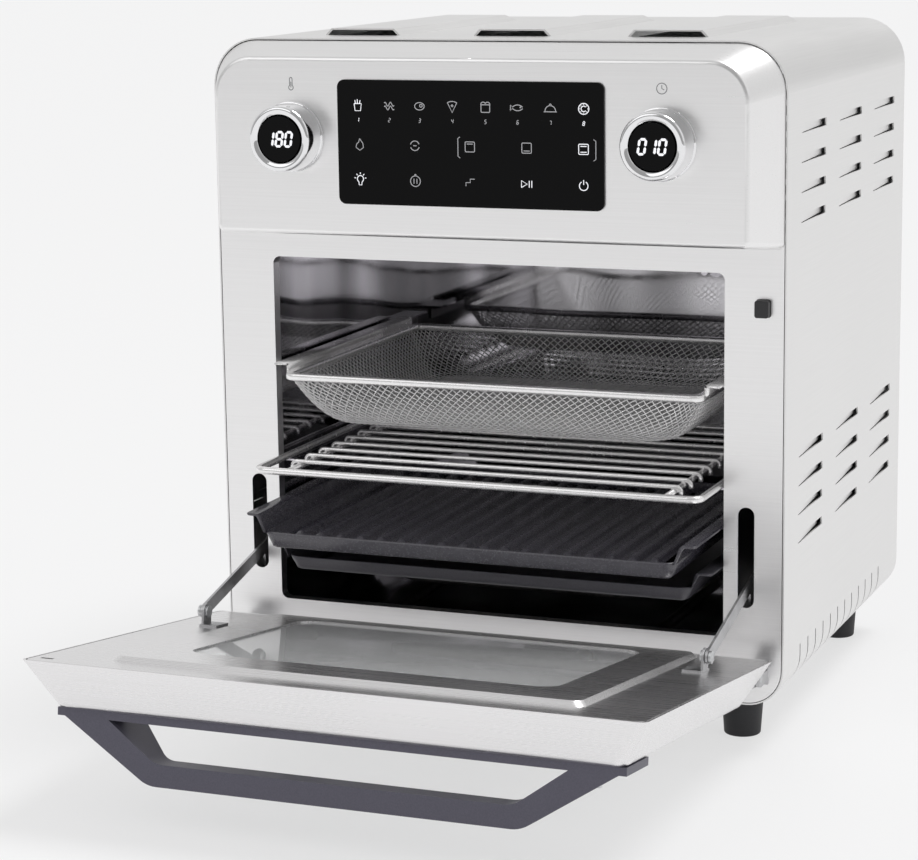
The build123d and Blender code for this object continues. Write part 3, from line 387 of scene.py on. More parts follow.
def lit_mark(name, color, strength):
    """A mark that shows at its own brightness in any light, with a slight mottle."""
    mat, tree, shader = new_finish(name, tuple(c * 0.5 for c in color), roughness=0.5,
                                   specular=0.0)
    glow = stretched_noise(tree, (MARK_GRAIN,) * 3)
    dim = tuple(c * 0.92 for c in color)
    wire(tree, tinted(tree, ranged(tree, glow, 0, 1), dim, color),
         shader.inputs["Emission Color"])
    shader.inputs["Emission Strength"].default_value = strength
    return mat


door_glass = clear_glass("door_glass", (0.97, 0.975, 0.98), clear=0.66)
lamp_glass = clear_glass("lamp_glass", (0.95, 0.95, 0.93), clear=0.9, roughness=0.1)
black_glass = textured_finish("black_glass", (0.0012, 0.0012, 0.0014), 0.06, 40.0, 0.0,
                              specular=0.10)
bright_mark = lit_mark("bright_mark", (0.95, 0.96, 1.0), strength=0.75)
dim_mark = lit_mark("dim_mark", (0.60, 0.60, 0.62), strength=0.30)
printed_mark = textured_finish("printed_mark", (0.16, 0.16, 0.17), 0.5, 600.0, 0.0)
print("glass:", [mat.name for mat in (door_glass, lamp_glass, black_glass)])


# %% [markdown]
# ## Every drawn node gets its finish
#
# A drawn node arrives with a plain material. One table names the finish of every node, so that
# none is forgotten, and the last line prints any that is missing from it.

# %% Finishes of the drawn nodes
NODE_FINISH = {
    front_steel: ["front_frame", "control_fascia"],
    side_steel: ["outer_shell"],
    door_steel: ["door_outer_panel", "door_inner_panel"],
    cover_steel: ["rear_cover", "base_pan"],
    liner_steel: ["liner_left", "liner_right", "liner_floor", "liner_ceiling", "liner_back"],
    rail_steel: ["guide_rails_left", "guide_rails_right", "fan_guard", "temperature_probe"],
    chrome: ["knob_ring_left", "knob_ring_right"],
    bright_wire: ["wire_rack", "basket_rim", "basket_mesh"],
    zinc: ["fan_motor", "fan_shaft", "board_studs", "spit_socket", "handle_screws",
           "rear_screws", "hinge_pins", "link_rivets"],
    sheet_metal: ["fan_housing", "lamp_cup", "hinge_brackets", "door_knuckles", "link_ears",
                  "link_left", "link_right"],
    aluminium: ["convection_fan"],
    heater_sheath: ["upper_element", "lower_element"],
    ceramic: ["element_bushings"],
    pan_coating: ["grill_pan"],
    tray_coating: ["drip_tray"],
    handle_plastic: ["handle"],
    black_plastic: ["cooling_fan", "display_stems", "thermal_cutout", "spit_motor",
                    "door_switch", "switch_plunger", "cord_gland"],
    foot_rubber: ["feet"],
    silicone: ["glass_retainer"],
    board_green: ["control_board", "power_board"],
    black_glass: ["touch_glass", "display_lenses"],
    door_glass: ["door_inner_glass", "door_outer_glass"],
    lamp_glass: ["lamp_bulb", "lamp_lens"],
}


def finish_nodes():
    """Give each drawn node the material that the table names."""
    for mat, names in NODE_FINISH.items():
        for name in names:
            slots = NODES[name].data.materials
            slots.clear()
            slots.append(mat)
    missing = set(NODES) - {n for names in NODE_FINISH.values() for n in names}
    print("nodes without a finish:", sorted(missing))


finish_nodes()


# %% [markdown]
# ## Surfaces from arrays
#
# A new piece could be modelled by hand, but its points then couldn't follow the drawing. Here
# each piece is worked out with numpy as a grid of points, and its faces are the grid's quads.
# `new_piece` turns both into an object that rides one of the oven's bodies.

# %% A piece and its grid of faces
def new_piece(name, points, faces, mat, body, smooth=True):
    """A mesh object from drawing millimetres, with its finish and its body."""
    mesh = bpy.data.meshes.new(name)
    mesh.from_pydata(placed(points).tolist(), [], faces)
    mesh.validate()
    mesh.update()
    mesh.materials.append(mat)
    mesh.polygons.foreach_set("use_smooth", [smooth] * len(mesh.polygons))
    piece = bpy.data.objects.new(name, mesh)
    bpy.context.collection.objects.link(piece)
    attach(piece, body)
    return piece


def grid_faces(rows, columns, wrap_rows=False, wrap_columns=True):
    """Quads of a grid of rows by columns, wrapped round either way."""
    row_count = rows if wrap_rows else rows - 1
    column_count = columns if wrap_columns else columns - 1
    r, c = np.meshgrid(np.arange(row_count), np.arange(column_count), indexing="ij")
    r1, c1 = (r + 1) % rows, (c + 1) % columns
    quads = np.stack([r * columns + c, r * columns + c1, r1 * columns + c1, r1 * columns + c],
                     axis=-1)
    return quads.reshape(-1, 4).tolist()


print("a 3 by 4 tube has", len(grid_faces(3, 4)), "quads")


# %% [markdown]
# ## Sweeps
#
# Rods, rims and strips are one section all along. A sweep carries a closed section along a path:
# at each point of the path the section is laid out on two directions, one beside the path and
# one in the plane that `up` fixes. A curve object with a bevel would do for a round rod, but not
# for a strip that has to stay level.

# %% Sweep
def sweep(path, section, up=(0, 0, 1), closed=False):
    """Section points (s, t) at side * s + rise * t about each path point.

    side is the cross product of the path's direction and up, and rise is the cross product of
    side and the direction, so the section stays square to the path.
    """
    path = np.asarray(path, dtype=float)
    section = np.asarray(section, dtype=float)
    if closed:
        along = np.roll(path, -1, axis=0) - np.roll(path, 1, axis=0)
    else:
        along = np.gradient(path, axis=0)
    along = along / np.linalg.norm(along, axis=1, keepdims=True)
    side = np.cross(along, np.asarray(up, dtype=float))
    side = side / np.linalg.norm(side, axis=1, keepdims=True)
    rise = np.cross(side, along)
    points = (path[:, None] + side[:, None] * section[None, :, :1]
              + rise[:, None] * section[None, :, 1:])
    faces = grid_faces(len(path), len(section), wrap_rows=closed)
    faces = [face[::-1] for face in faces]
    if not closed:
        count = len(section)
        last = (len(path) - 1) * count
        faces.append(list(range(count)))
        faces.append([last + i for i in reversed(range(count))])
    return points.reshape(-1, 3), faces


def joined(parts):
    """Several (points, faces) pairs as one."""
    points, faces, base = [], [], 0
    for part_points, part_faces in parts:
        points.append(part_points)
        faces += [[i + base for i in face] for face in part_faces]
        base += len(part_points)
    return np.concatenate(points), faces


short_rod = sweep([(0, 0, 0), (0, 5, 0)], [(-1, -1), (1, -1), (1, 1), (-1, 1)])
print("two rods of four sides have", len(joined([short_rod, short_rod])[1]), "faces")


# %% [markdown]
# ## Sections
#
# Two sections are enough for the whole oven: a circle for rods, and a rectangle with quarter
# circles at its corners for folded strips.

# %% Sections
def ring_section(radius, sides):
    """Points of a circle, as a tube's section."""
    turn = np.linspace(0, 2 * np.pi, sides, endpoint=False)
    return np.column_stack([radius * np.cos(turn), radius * np.sin(turn)])


def soft_box_section(width, height, radius, steps=3):
    """Points of a rectangle with rounded corners, as a strip's section."""
    turn = np.linspace(0, np.pi / 2, steps + 1)
    corner = np.column_stack([np.cos(turn), np.sin(turn)]) * radius
    out = []
    for k, (sx, sy) in enumerate(((1, 1), (-1, 1), (-1, -1), (1, -1))):
        c, s = math.cos(k * math.pi / 2), math.sin(k * math.pi / 2)
        spun = corner @ np.array([[c, s], [-s, c]])
        out.append(spun + np.array([sx * (width / 2 - radius), sy * (height / 2 - radius)]))
    return np.concatenate(out)


print("a soft box section has", len(soft_box_section(5.0, 4.0, 1.3)), "points")


# %% [markdown]
# ## Rounded loops
#
# Trays, rims and wire cloth all follow a rectangle with round corners. Its parameter u runs once
# round, and each side and each corner has a fixed share of u, so loops of different sizes can
# be joined point to point.

# %% Rounded loops
def loop_ends(reference):
    """Values of u where the four sides and four corners of a reference loop begin and end."""
    ref_x, ref_y, ref_r = reference
    lengths = np.array([2 * (ref_y - ref_r), ref_r * np.pi / 2,
                        2 * (ref_x - ref_r), ref_r * np.pi / 2] * 2)
    return np.concatenate([[0], np.cumsum(lengths)]) / lengths.sum()


def rounded_loop(u, half_x, half_y, radius, middle_y, reference):
    """Points of a rounded rectangle at u, as x and y.

    Each quarter of the loop is a straight side and a quarter circle; the reference half sizes
    and radius set how u is shared between them.
    """
    ends = loop_ends(reference)
    u = np.mod(u, 1.0)
    part = np.clip(np.searchsorted(ends, u, side="right") - 1, 0, 7)
    local = (u - ends[part]) / (ends[part + 1] - ends[part])
    sx = np.array([1, 1, 1, -1, -1, -1, -1, 1])[part]
    sy = np.array([1, 1, 1, 1, -1, -1, -1, -1])[part]
    flat_x, flat_y = half_x - radius, half_y - radius
    quarter = np.array([0, 0, 1, 1, 2, 2, 3, 3])[part]
    angle = np.radians(90 * (quarter + local))
    arc_x = sx * flat_x + radius * np.cos(angle)
    arc_y = sy * flat_y + radius * np.sin(angle)
    run = 2 * local - 1
    side_x = np.choose(part, [half_x, 0, -run * flat_x, 0, -half_x, 0, run * flat_x, 0])
    side_y = np.choose(part, [run * flat_y, 0, half_y, 0, -run * flat_y, 0, -half_y, 0])
    is_arc = part % 2 == 1
    x = np.where(is_arc, arc_x, side_x)
    y = np.where(is_arc, arc_y, side_y)
    return x, y + middle_y


def loop_share(reference, steps):
    """Values of u that put most points in the corners, and four on each side."""
    ends = loop_ends(reference)
    spans = [np.linspace(ends[i], ends[i + 1], steps if i % 2 else 4, endpoint=False)
             for i in range(8)]
    return np.concatenate(spans)


print("a loop with 10 points to a corner has", len(loop_share((100.0, 80.0, 10.0), 10)), "points")


# %% [markdown]
# ## The fry basket: woven wire
#
# The basket is diagonal wire cloth pressed into a dish. Two families of wires cross at right
# angles. On the walls a wire of the first family moves round the loop as it goes down, and one
# of the second family moves the other way, so they meet every half pitch of depth. At each
# meeting one family bulges out and the other in, by the wire's radius, and they swap at the
# next: that is a plain weave. The floor is the same cloth, cut along the dish's edge.

# %% Basket sizes
WIRE_PITCH = 4.0
WIRE_RADIUS = 0.36
WIRE_SIDES = 4
WEAVE = 0.30
TOP_MARGIN = 0.4
TUCK = 1.5
BASKET_CORNER = 16.0
TOP_CORNER = 10.0
FLOOR_INSET = (25.0, 15.0)
REFERENCE_INSET = (10.0, 6.0)
rim_low, rim_high = box_mm("basket_rim")
mesh_low, mesh_high = box_mm("basket_mesh")
basket_middle = (mesh_low[1] + mesh_high[1]) / 2
top_half = (mesh_high[:2] - mesh_low[:2]) / 2 - TOP_MARGIN
floor_half = top_half - FLOOR_INSET
BASKET_REF = (*(top_half - REFERENCE_INSET), BASKET_CORNER)
wall_top = rim_low[2] + TUCK
wall_low = mesh_low[2] + WIRE_RADIUS + WEAVE
print("basket at the rim", (2 * top_half).round(1), "and at the floor", (2 * floor_half).round(1))


# %% [markdown]
# ## The basket's wall
#
# The wall slopes inwards and turns into the floor with a large round edge. One cubic curve gives
# both: a share s of the way down sets how far the loop is drawn in, and its height.

# %% Basket wall
STEEP_INSET, FOOT_INSET = 0.34, 0.66
STEEP_HEIGHT = 0.38


def wall_profile(s):
    """Share of the inset, and height, at a share s of the way down: a cubic curve.

    It leaves the rim along the sloping wall and reaches the floor level, so the bottom edge is
    round.
    """
    a, b, c, d = (1 - s) ** 3, 3 * s * (1 - s) ** 2, 3 * s ** 2 * (1 - s), s ** 3
    inset = b * STEEP_INSET + c * FOOT_INSET + d
    steep = wall_top * STEEP_HEIGHT + wall_low * (1 - STEEP_HEIGHT)
    height = a * wall_top + b * steep + c * wall_low + d * wall_low
    return inset, height


def wall_point(u, s):
    """A point of the wall at u round the loop and s of the way down."""
    inset, height = wall_profile(s)
    half_x = top_half[0] - FLOOR_INSET[0] * inset
    half_y = top_half[1] - FLOOR_INSET[1] * inset
    corner = TOP_CORNER + (BASKET_CORNER - TOP_CORNER) * inset
    x, y = rounded_loop(u, half_x, half_y, corner, basket_middle, BASKET_REF)
    return np.stack([x, y, height], axis=-1)


print("halfway down:", wall_point(np.array([0.0]), np.array([0.5])).round(1)[0])


# %% [markdown]
# ## Many wires at once
#
# The cloth has hundreds of wires. Bending each with its own curve object would be slow, so one
# array holds all the paths, and the sweep's sum is done on the whole array. Four sides to a wire
# are enough at this size.

# %% Tubes along many paths
def wire_tubes(paths, radius, sides):
    """Tubes along many paths of the same length at once, as (points, faces)."""
    along = np.gradient(paths, axis=1)
    along = along / np.linalg.norm(along, axis=2, keepdims=True)
    side = np.cross(along, np.array([0.0, 0.0, 1.0]))
    side = side / np.linalg.norm(side, axis=2, keepdims=True)
    rise = np.cross(side, along)
    section = ring_section(radius, sides)
    points = (paths[:, :, None] + side[:, :, None] * section[None, None, :, :1]
              + rise[:, :, None] * section[None, None, :, 1:])
    count, steps = paths.shape[:2]
    tube = np.array(grid_faces(steps, sides))[:, ::-1]
    faces = (tube[None] + (np.arange(count) * steps * sides)[:, None, None]).reshape(-1, 4)
    return points.reshape(-1, 3), faces.tolist()


two_paths = np.array([[(0, 0, 0), (1, 0, 0), (2, 0, 0)], [(0, 1, 0), (1, 1, 0), (2, 1, 0)]])
print("two short tubes have", len(wire_tubes(two_paths, 0.1, WIRE_SIDES)[1]), "quads")


# %% [markdown]
# ## Wires on the walls
#
# A wire starts at the rim and moves half a pitch round the loop at each step down. To bulge out
# or in it needs the wall's outward direction, which is the cross product of a small step down
# and a small step round.

# %% Wall wires
SLOPE_SAMPLES = 60
SLOPE_AT = 0.12
NUDGE_ROUND, NUDGE_DOWN = 1e-4, 1e-3


def even_steps():
    """Shares of the way down that lie half a pitch apart along the wall."""
    s = np.linspace(0, 1, SLOPE_SAMPLES)
    line = wall_point(np.full(SLOPE_SAMPLES, SLOPE_AT), s)
    run = np.concatenate([[0], np.cumsum(np.linalg.norm(np.diff(line, axis=0), axis=1))])
    steps = int(run[-1] / (WIRE_PITCH / 2)) + 1
    return np.interp(np.linspace(0, run[-1], steps), run, s)


def outward(u, at):
    """The wall's outward unit direction at each point."""
    ahead = wall_point(u + NUDGE_ROUND, at) - wall_point(u, at)
    below = wall_point(u, np.clip(at + NUDGE_DOWN, 0, 1))
    above = wall_point(u, np.clip(at - NUDGE_DOWN, 0, 1))
    out = np.cross(below - above, ahead)
    return out / np.linalg.norm(out, axis=2, keepdims=True)


def wall_wires():
    """Both families of wires on the walls, bulging out and in by turns."""
    perimeter = 4 * (BASKET_REF[0] + BASKET_REF[1]) - (8 - 2 * math.pi) * BASKET_REF[2]
    count = int(round(perimeter / WIRE_PITCH))
    down = even_steps()
    order = np.arange(len(down))
    families = []
    for way in (1, -1):
        u = (np.arange(count)[:, None] + way * order[None, :] / 2) / count
        at = np.broadcast_to(down, u.shape)
        bulge = way * WEAVE * (-1.0) ** order
        paths = wall_point(u, at) + outward(u, at) * bulge[None, :, None]
        families.append(wire_tubes(paths, WIRE_RADIUS, WIRE_SIDES))
    print("wall wires:", 2 * count, "with", len(down), "meetings each")
    return families


# %% [markdown]
# ## Wires on the floor
#
# The floor's wires run straight both ways on the diagonal. A wire keeps only the points that lie
# inside the dish's rounded edge, and goes over and under at every other step.

# %% Floor wires
def floor_wires():
    """Straight wires both ways across the floor, cut where they reach the dish's edge."""
    half_x, half_y = floor_half
    flat_x, flat_y = half_x - BASKET_CORNER, half_y - BASKET_CORNER
    step = WIRE_PITCH / 2
    reach = int((half_x + half_y) / WIRE_PITCH) + 1
    tubes = []
    for way in (1, -1):
        for k in range(-reach, reach + 1):
            x = np.arange(-int(half_x / step) - 1, int(half_x / step) + 2) * step
            y = way * (x - k * WIRE_PITCH)
            inside = (np.hypot(np.maximum(abs(x) - flat_x, 0), np.maximum(abs(y) - flat_y, 0))
                      <= BASKET_CORNER)
            if inside.sum() < 3:
                continue
            x, y = x[inside], y[inside]
            z = wall_low + way * WEAVE * np.where(np.round(x / step) % 2 == 0, 1, -1)
            path = np.column_stack([x, y + basket_middle, z])
            tubes.append(wire_tubes(path[None], WIRE_RADIUS, WIRE_SIDES))
    print("floor wires:", len(tubes))
    return tubes


def make_basket_cloth():
    """The whole wire cloth as one mesh, in place of the plain dish."""
    points, faces = joined(wall_wires() + floor_wires())
    piece = new_piece("basket_cloth", points, faces, mesh_wire, "basket")
    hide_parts("basket_mesh")
    print("basket cloth:", len(faces) * 2, "triangles")


make_basket_cloth()


# %% [markdown]
# ## The basket's rim
#
# A flat band is folded over the cloth's edge all round, and a flange on each side slides on the
# rails. The band is a soft rectangle carried round the loop. The flange is a thin strip with a
# rounded edge, and a second strip on edge is the riser that holds it up.

# %% Level loops and strips
def rim_loop(half_x, half_y, radius, middle_y, z, steps=10):
    """A level rounded loop as points."""
    reference = (half_x, half_y, radius)
    u = loop_share(reference, steps)
    x, y = rounded_loop(u, half_x, half_y, radius, middle_y, reference)
    return np.column_stack([x, y, np.full(len(u), z)])


def strip(x0, x1, y0, y1, z0, z1, radius):
    """A long strip along Y with a rounded section."""
    path = [[(x0 + x1) / 2, y, (z0 + z1) / 2] for y in np.linspace(y0, y1, 4)]
    return sweep(path, soft_box_section(x1 - x0, z1 - z0, radius))


print("a rim loop has", len(rim_loop(100.0, 80.0, 10.0, 0.0, 0.0)), "points")


# %% [markdown]
# ## The rim put together
#
# The band's place comes from the boxes of the two drawn basket nodes, so it closes over the
# cloth's top edge. The strips start a little inside the band, as a weld does.

# %% Basket rim
RIM_CORNER = 7.0
BAND_WIDTH, BAND_HEIGHT, BAND_SOFT = 5.0, 4.0, 1.3
BAND_OVERHANG = 1.0
RIM_SHEET = 1.2
RIM_SOFT = 0.5
FLANGE_WELD = 0.8
RISER_IN = 1.0
RISER_FOOT = 1.5
RISER_TOP_GAP = 0.1


def make_basket_rim():
    """The folded band, and on each side a riser with a flange that slides on the rail."""
    half_x = (mesh_high[0] - mesh_low[0]) / 2 + BAND_OVERHANG - BAND_WIDTH / 2
    half_y = (rim_high[1] - rim_low[1] - BAND_WIDTH) / 2
    middle = (rim_low[1] + rim_high[1]) / 2
    rim_top = rim_low[2] + BAND_HEIGHT
    loop = rim_loop(half_x, half_y, RIM_CORNER - BAND_WIDTH / 2, middle,
                    rim_top - BAND_HEIGHT / 2)
    parts = [sweep(loop, soft_box_section(BAND_WIDTH, BAND_HEIGHT, BAND_SOFT), closed=True)]
    edge = half_x + BAND_WIDTH / 2
    ends = (rim_low[1] + RIM_CORNER, rim_high[1] - RIM_CORNER)
    for side in (-1, 1):
        x0, x1 = sorted((side * (edge - FLANGE_WELD), side * rim_high[0]))
        parts.append(strip(x0, x1, *ends, rim_high[2] - RIM_SHEET, rim_high[2], RIM_SOFT))
        x0, x1 = sorted((side * (edge - RISER_IN), side * (edge - RISER_IN + RIM_SHEET)))
        parts.append(strip(x0, x1, *ends, rim_top - RISER_FOOT, rim_high[2] - RISER_TOP_GAP,
                           RIM_SOFT))
    points, faces = joined(parts)
    piece = new_piece("basket_band", points, faces, bright_wire, "basket")
    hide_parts("basket_rim")
    print("basket band:", len(faces), "faces, edge at", round(edge, 2), "mm")


make_basket_rim()


# %% [markdown]
# ## The wire rack
#
# One thick rod is bent into the outer frame. Two runners lie inside it, and the cross wires
# lie on them with their ends turned down and welded. Every rod is a round section on a path,
# with more sides on the thicker ones.

# %% Wire rack
RACK_ROD = 2.0
RUNNER_ROD = 1.6
CROSS_ROD = 1.3
RUNNER_X = 106.0
CROSS_HALF = 110.0
CROSS_COUNT = 10
CROSS_PITCH = 17.8
CROSS_FIRST = -18.5
CROSS_DROP = 4.2
WELD_DEPTH = 0.4
RACK_CORNER = 6.0
FRAME_SIDES, WIRE_ROD_SIDES = 14, 10
rack_low, rack_high = box_mm("wire_rack")
RACK_Z = rack_low[2] + RACK_ROD


def bent_end_path(half, y, z, drop, bend=2.4):
    """A straight wire along X whose two ends curve down by drop."""
    turn = np.linspace(0, np.pi / 2, 5)
    end = np.column_stack([half - bend + bend * np.sin(turn), np.full(5, y),
                           z - bend + bend * np.cos(turn)])
    tip = np.array([[half, y, z - drop]])
    right = np.concatenate([end, tip])
    left = right[::-1] * np.array([-1, 1, 1])
    return np.concatenate([left, right])


def make_rack():
    """The frame rod, two runners and the cross wires, as one welded piece."""
    half_x = (rack_high[0] - rack_low[0]) / 2 - RACK_ROD
    half_y = (rack_high[1] - rack_low[1]) / 2 - RACK_ROD
    middle = (rack_low[1] + rack_high[1]) / 2
    loop = rim_loop(half_x, half_y, RACK_CORNER, middle, RACK_Z)
    parts = [sweep(loop, ring_section(RACK_ROD, FRAME_SIDES), closed=True)]
    for x in (-RUNNER_X, RUNNER_X):
        path = [[x, y, RACK_Z] for y in np.linspace(middle - half_y, middle + half_y, 5)]
        parts.append(sweep(path, ring_section(RUNNER_ROD, WIRE_ROD_SIDES)))
    wire_z = RACK_Z + RUNNER_ROD + CROSS_ROD - WELD_DEPTH
    for i in range(CROSS_COUNT):
        path = bent_end_path(CROSS_HALF, CROSS_FIRST + i * CROSS_PITCH, wire_z, CROSS_DROP)
        parts.append(sweep(path, ring_section(CROSS_ROD, WIRE_ROD_SIDES), up=(0, 1, 0)))
    points, faces = joined(parts)
    piece = new_piece("rack_wires", points, faces, bright_wire, "rack")
    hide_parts("wire_rack")
    print("rack:", len(parts), "rods,", len(faces), "faces")


make_rack()


# %% [markdown]
# ## The grill pan and the drip tray
#
# Both are pressed from sheet: a shallow dish with round corners, and a raised flange along each
# side that slides on the rail. Each is built from three surfaces that overlap slightly where
# they meet. The first is the dish's wall: one profile, out of the floor, up the outside, over
# the rolled lip and down the inside, carried round the loop.

# %% Dish wall
DISH_CORNER = 8.0
DISH_SLOPE = 3.0
LEAST_CORNER = 2.0
INNER_BEND = 1.6
UNDER_LAP = 6.0
FLOOR_LAP = 8.0


def dish_profile(low, lip, wall, floor):
    """The profile's (inset, height) pairs, from the bottom's edge up and over the lip."""
    half_wall = wall / 2
    slope = DISH_SLOPE
    outside = [(slope + UNDER_LAP, low), (slope + 2.0, low), (slope + 0.6, low + 0.6),
               (slope, low + 2.0)]
    over = [(half_wall * (1 - math.cos(a)), lip - half_wall * (1 - math.sin(a)))
            for a in np.linspace(0, np.pi, 7)]
    foot = wall + slope
    inside = [(foot, low + floor + INNER_BEND), (foot + INNER_BEND, low + floor),
              (foot + FLOOR_LAP, low + floor)]
    return outside + over + inside


def dish_wall(half_x, half_y, middle, profile):
    """The dish's outer wall, rolled lip and inner wall, carried round the loop."""
    reference = (half_x, half_y, DISH_CORNER)
    u = loop_share(reference, 10)
    rows = []
    for inset, height in profile:
        x, y = rounded_loop(u, half_x - inset, half_y - inset,
                            max(DISH_CORNER - inset, LEAST_CORNER), middle, reference)
        rows.append(np.column_stack([x, y, np.full(len(u), height)]))
    return np.concatenate(rows), grid_faces(len(rows), len(u))


print("the dish's profile has", len(dish_profile(0.0, 20.0, 1.0, 1.0)), "points")


# %% [markdown]
# ## Flanges of the trays
#
# The flange is folded from the same sheet: up from the lip and out over the rail. It is a bent
# section carried along the side, and its two free corners are rounded off with a snip.

# %% Tray flange
FLANGE_EDGE = 126.5
FLANGE_SHEET = 1.2
FLANGE_CORNER = 3.0
CORNER_STEPS = 8
FLAT_STARTS = 5.0


def flange_side(side, half_x, y0, y1, lip, flange_z, wall):
    """One side's riser and flange, with the flange's free corners rounded off.

    Across, the section goes from inside the lip up the riser, out along the flange and back
    underneath. Near an end its outer points draw in along a quarter circle.
    """
    y = np.concatenate([np.linspace(y0, y0 + FLANGE_CORNER, CORNER_STEPS),
                        np.linspace(y1 - FLANGE_CORNER, y1, CORNER_STEPS)])
    near = np.clip(np.minimum(y - y0, y1 - y) / FLANGE_CORNER, 0, 1)
    drawn_in = FLANGE_CORNER * (1 - np.sqrt(1 - (1 - near) ** 2))
    top = flange_z + FLANGE_SHEET
    reach = FLANGE_EDGE - half_x
    section = [(-wall + 0.3, lip - 1.2), (-wall + 0.9, lip + 0.2), (1.6, top - 0.9),
               (3.0, top), (reach - 0.5, top), (reach, top - FLANGE_SHEET / 2),
               (reach - 0.5, flange_z), (4.4, flange_z), (3.4, flange_z - 0.8),
               (-0.2, lip - 0.6)]
    out, up = np.array(section).T
    x = half_x + out - np.where(out > FLAT_STARTS, drawn_in[:, None], 0.0)
    points = np.stack([side * x, np.broadcast_to(y[:, None], x.shape),
                       np.broadcast_to(up, x.shape)], axis=-1)
    faces = grid_faces(len(y), len(section))
    count = len(section)
    last = (len(y) - 1) * count
    faces += [list(range(count))[::-1], [last + i for i in range(count)]]
    if side > 0:
        faces = [face[::-1] for face in faces]
    return points.reshape(-1, 3), faces


sample_points, sample_faces = flange_side(1, 116.0, 0.0, 100.0, 10.0, 12.0, 1.0)
print("a flange has", len(sample_faces), "faces")


# %% [markdown]
# ## Floors, plain and ridged
#
# The grill pan's floor has rounded ridges that lift the food out of its juices. A height field
# gives them: every point of a level grid is raised by a formula of its x and y, so a ridge needs
# no cutting or joining. Without ridges the same function is a plain floor.

# %% Dish floor
RIDGE_HEIGHT = 3.6
RIDGE_SHARE = 0.30
RIDGE_FADE = 9.0
POINTS_PER_RIDGE = 12
PLAIN_POINTS = 24
FADE_POINTS = 10


def smooth_step(t):
    """0 to 1 with level ends: 3 t^2 - 2 t^3."""
    t = np.clip(t, 0, 1)
    return t * t * (3 - 2 * t)


def ridge_height(x, y, half_y, span, ridges):
    """Across a ridge the height is an ellipse; along it, a smooth step at each end."""
    phase = (x + span / 2) * (ridges - 1) / span
    nearest = np.clip(np.round(phase), 0, ridges - 1)
    near = np.clip(np.abs(phase - nearest) / RIDGE_SHARE, 0, 1)
    ends = smooth_step((half_y - np.abs(y)) / RIDGE_FADE)
    return RIDGE_HEIGHT * np.sqrt(np.clip(1 - near ** 2, 0, 1)) * ends


def dish_floor(half_x, half_y, middle, z, span=0.0, ridges=0):
    """A level floor, with ridges along Y that fade out near the ends."""
    xs = np.linspace(-half_x, half_x, ridges * POINTS_PER_RIDGE + 1 if ridges else PLAIN_POINTS)
    ys = np.concatenate([np.linspace(-half_y, -half_y + RIDGE_FADE, FADE_POINTS),
                         np.linspace(half_y - RIDGE_FADE, half_y, FADE_POINTS)])
    x, y = np.meshgrid(xs, ys, indexing="ij")
    bump = ridge_height(x, y, half_y, span, ridges) if ridges else np.zeros_like(x)
    points = np.stack([x, y + middle, z + bump], axis=-1).reshape(-1, 3)
    return points, [f[::-1] for f in grid_faces(len(xs), len(ys), wrap_columns=False)]


print("ridge heights, end to middle:",
      ridge_height(np.zeros(4), np.array([50.0, 47.0, 44.0, 0.0]), 50.0, 200.0, 19).round(2))


# %% [markdown]
# ## The two trays
#
# The pan is thick cast-like sheet with a ridged floor, and the drip tray is thin sheet. The same
# function makes both from the box of the drawn node, so they ride where the drawing has them.

# %% Grill pan and drip tray
SETBACK = 2.2
RIDGE_INSET = 16.0
FLOOR_EDGE = 6.2
UNDER_EDGE = 6.0
UNDER_LIFT = 0.02


def make_tray(name, node_name, body, half_x, lip, wall, floor, mat, ridges=0):
    """Dish, floor, underside and side flanges of one tray."""
    low, high = box_mm(node_name)
    half_y = (high[1] - low[1]) / 2
    middle = (low[1] + high[1]) / 2
    inset = wall + FLOOR_EDGE
    top = dish_floor(half_x - inset, half_y - inset, middle, low[2] + floor,
                     2 * (half_x - RIDGE_INSET), ridges)
    under = dish_floor(half_x - UNDER_EDGE, half_y - UNDER_EDGE, middle, low[2] + UNDER_LIFT)
    parts = [dish_wall(half_x, half_y, middle, dish_profile(low[2], lip, wall, floor)), top,
             (under[0], [f[::-1] for f in under[1]])]
    for side in (-1, 1):
        parts.append(flange_side(side, half_x, low[1] + SETBACK, high[1] - SETBACK, lip,
                                 high[2] - FLANGE_SHEET, wall))
    points, faces = joined(parts)
    piece = new_piece(name, points, faces, mat, body)
    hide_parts(node_name)
    print(name, "has", len(faces), "faces")


make_tray("pan_pressing", "grill_pan", "pan", half_x=116.0, lip=109.2, wall=2.2, floor=4.0,
          mat=pan_coating, ridges=18)
make_tray("tray_pressing", "drip_tray", "tray", half_x=115.5, lip=89.4, wall=1.0, floor=1.0,
          mat=tray_coating)


# %% [markdown]
# ## The knob rings
#
# Each knob is a plated ring that turns round a fixed display: a skirt, a shadow groove, a body
# that narrows a little to the front, and a wide polished chamfer down to the display. A lathe
# spins the profile: x = r cos a, z = r sin a, with y along the axis.

# %% Knob rings
KNOB_PROFILE = [(12.35, 0.0), (18.2, 0.0), (18.5, -0.3), (18.6, -0.8), (18.6, -1.9), (18.3, -2.2),
                (17.5, -2.3), (17.4, -2.7), (17.5, -3.0), (18.0, -3.3), (18.05, -3.9),
                (17.7, -9.0), (17.3, -14.6), (17.0, -15.6), (16.4, -16.3), (15.6, -16.6),
                (14.4, -16.5), (13.2, -15.9), (12.45, -15.2), (12.35, -14.6)]


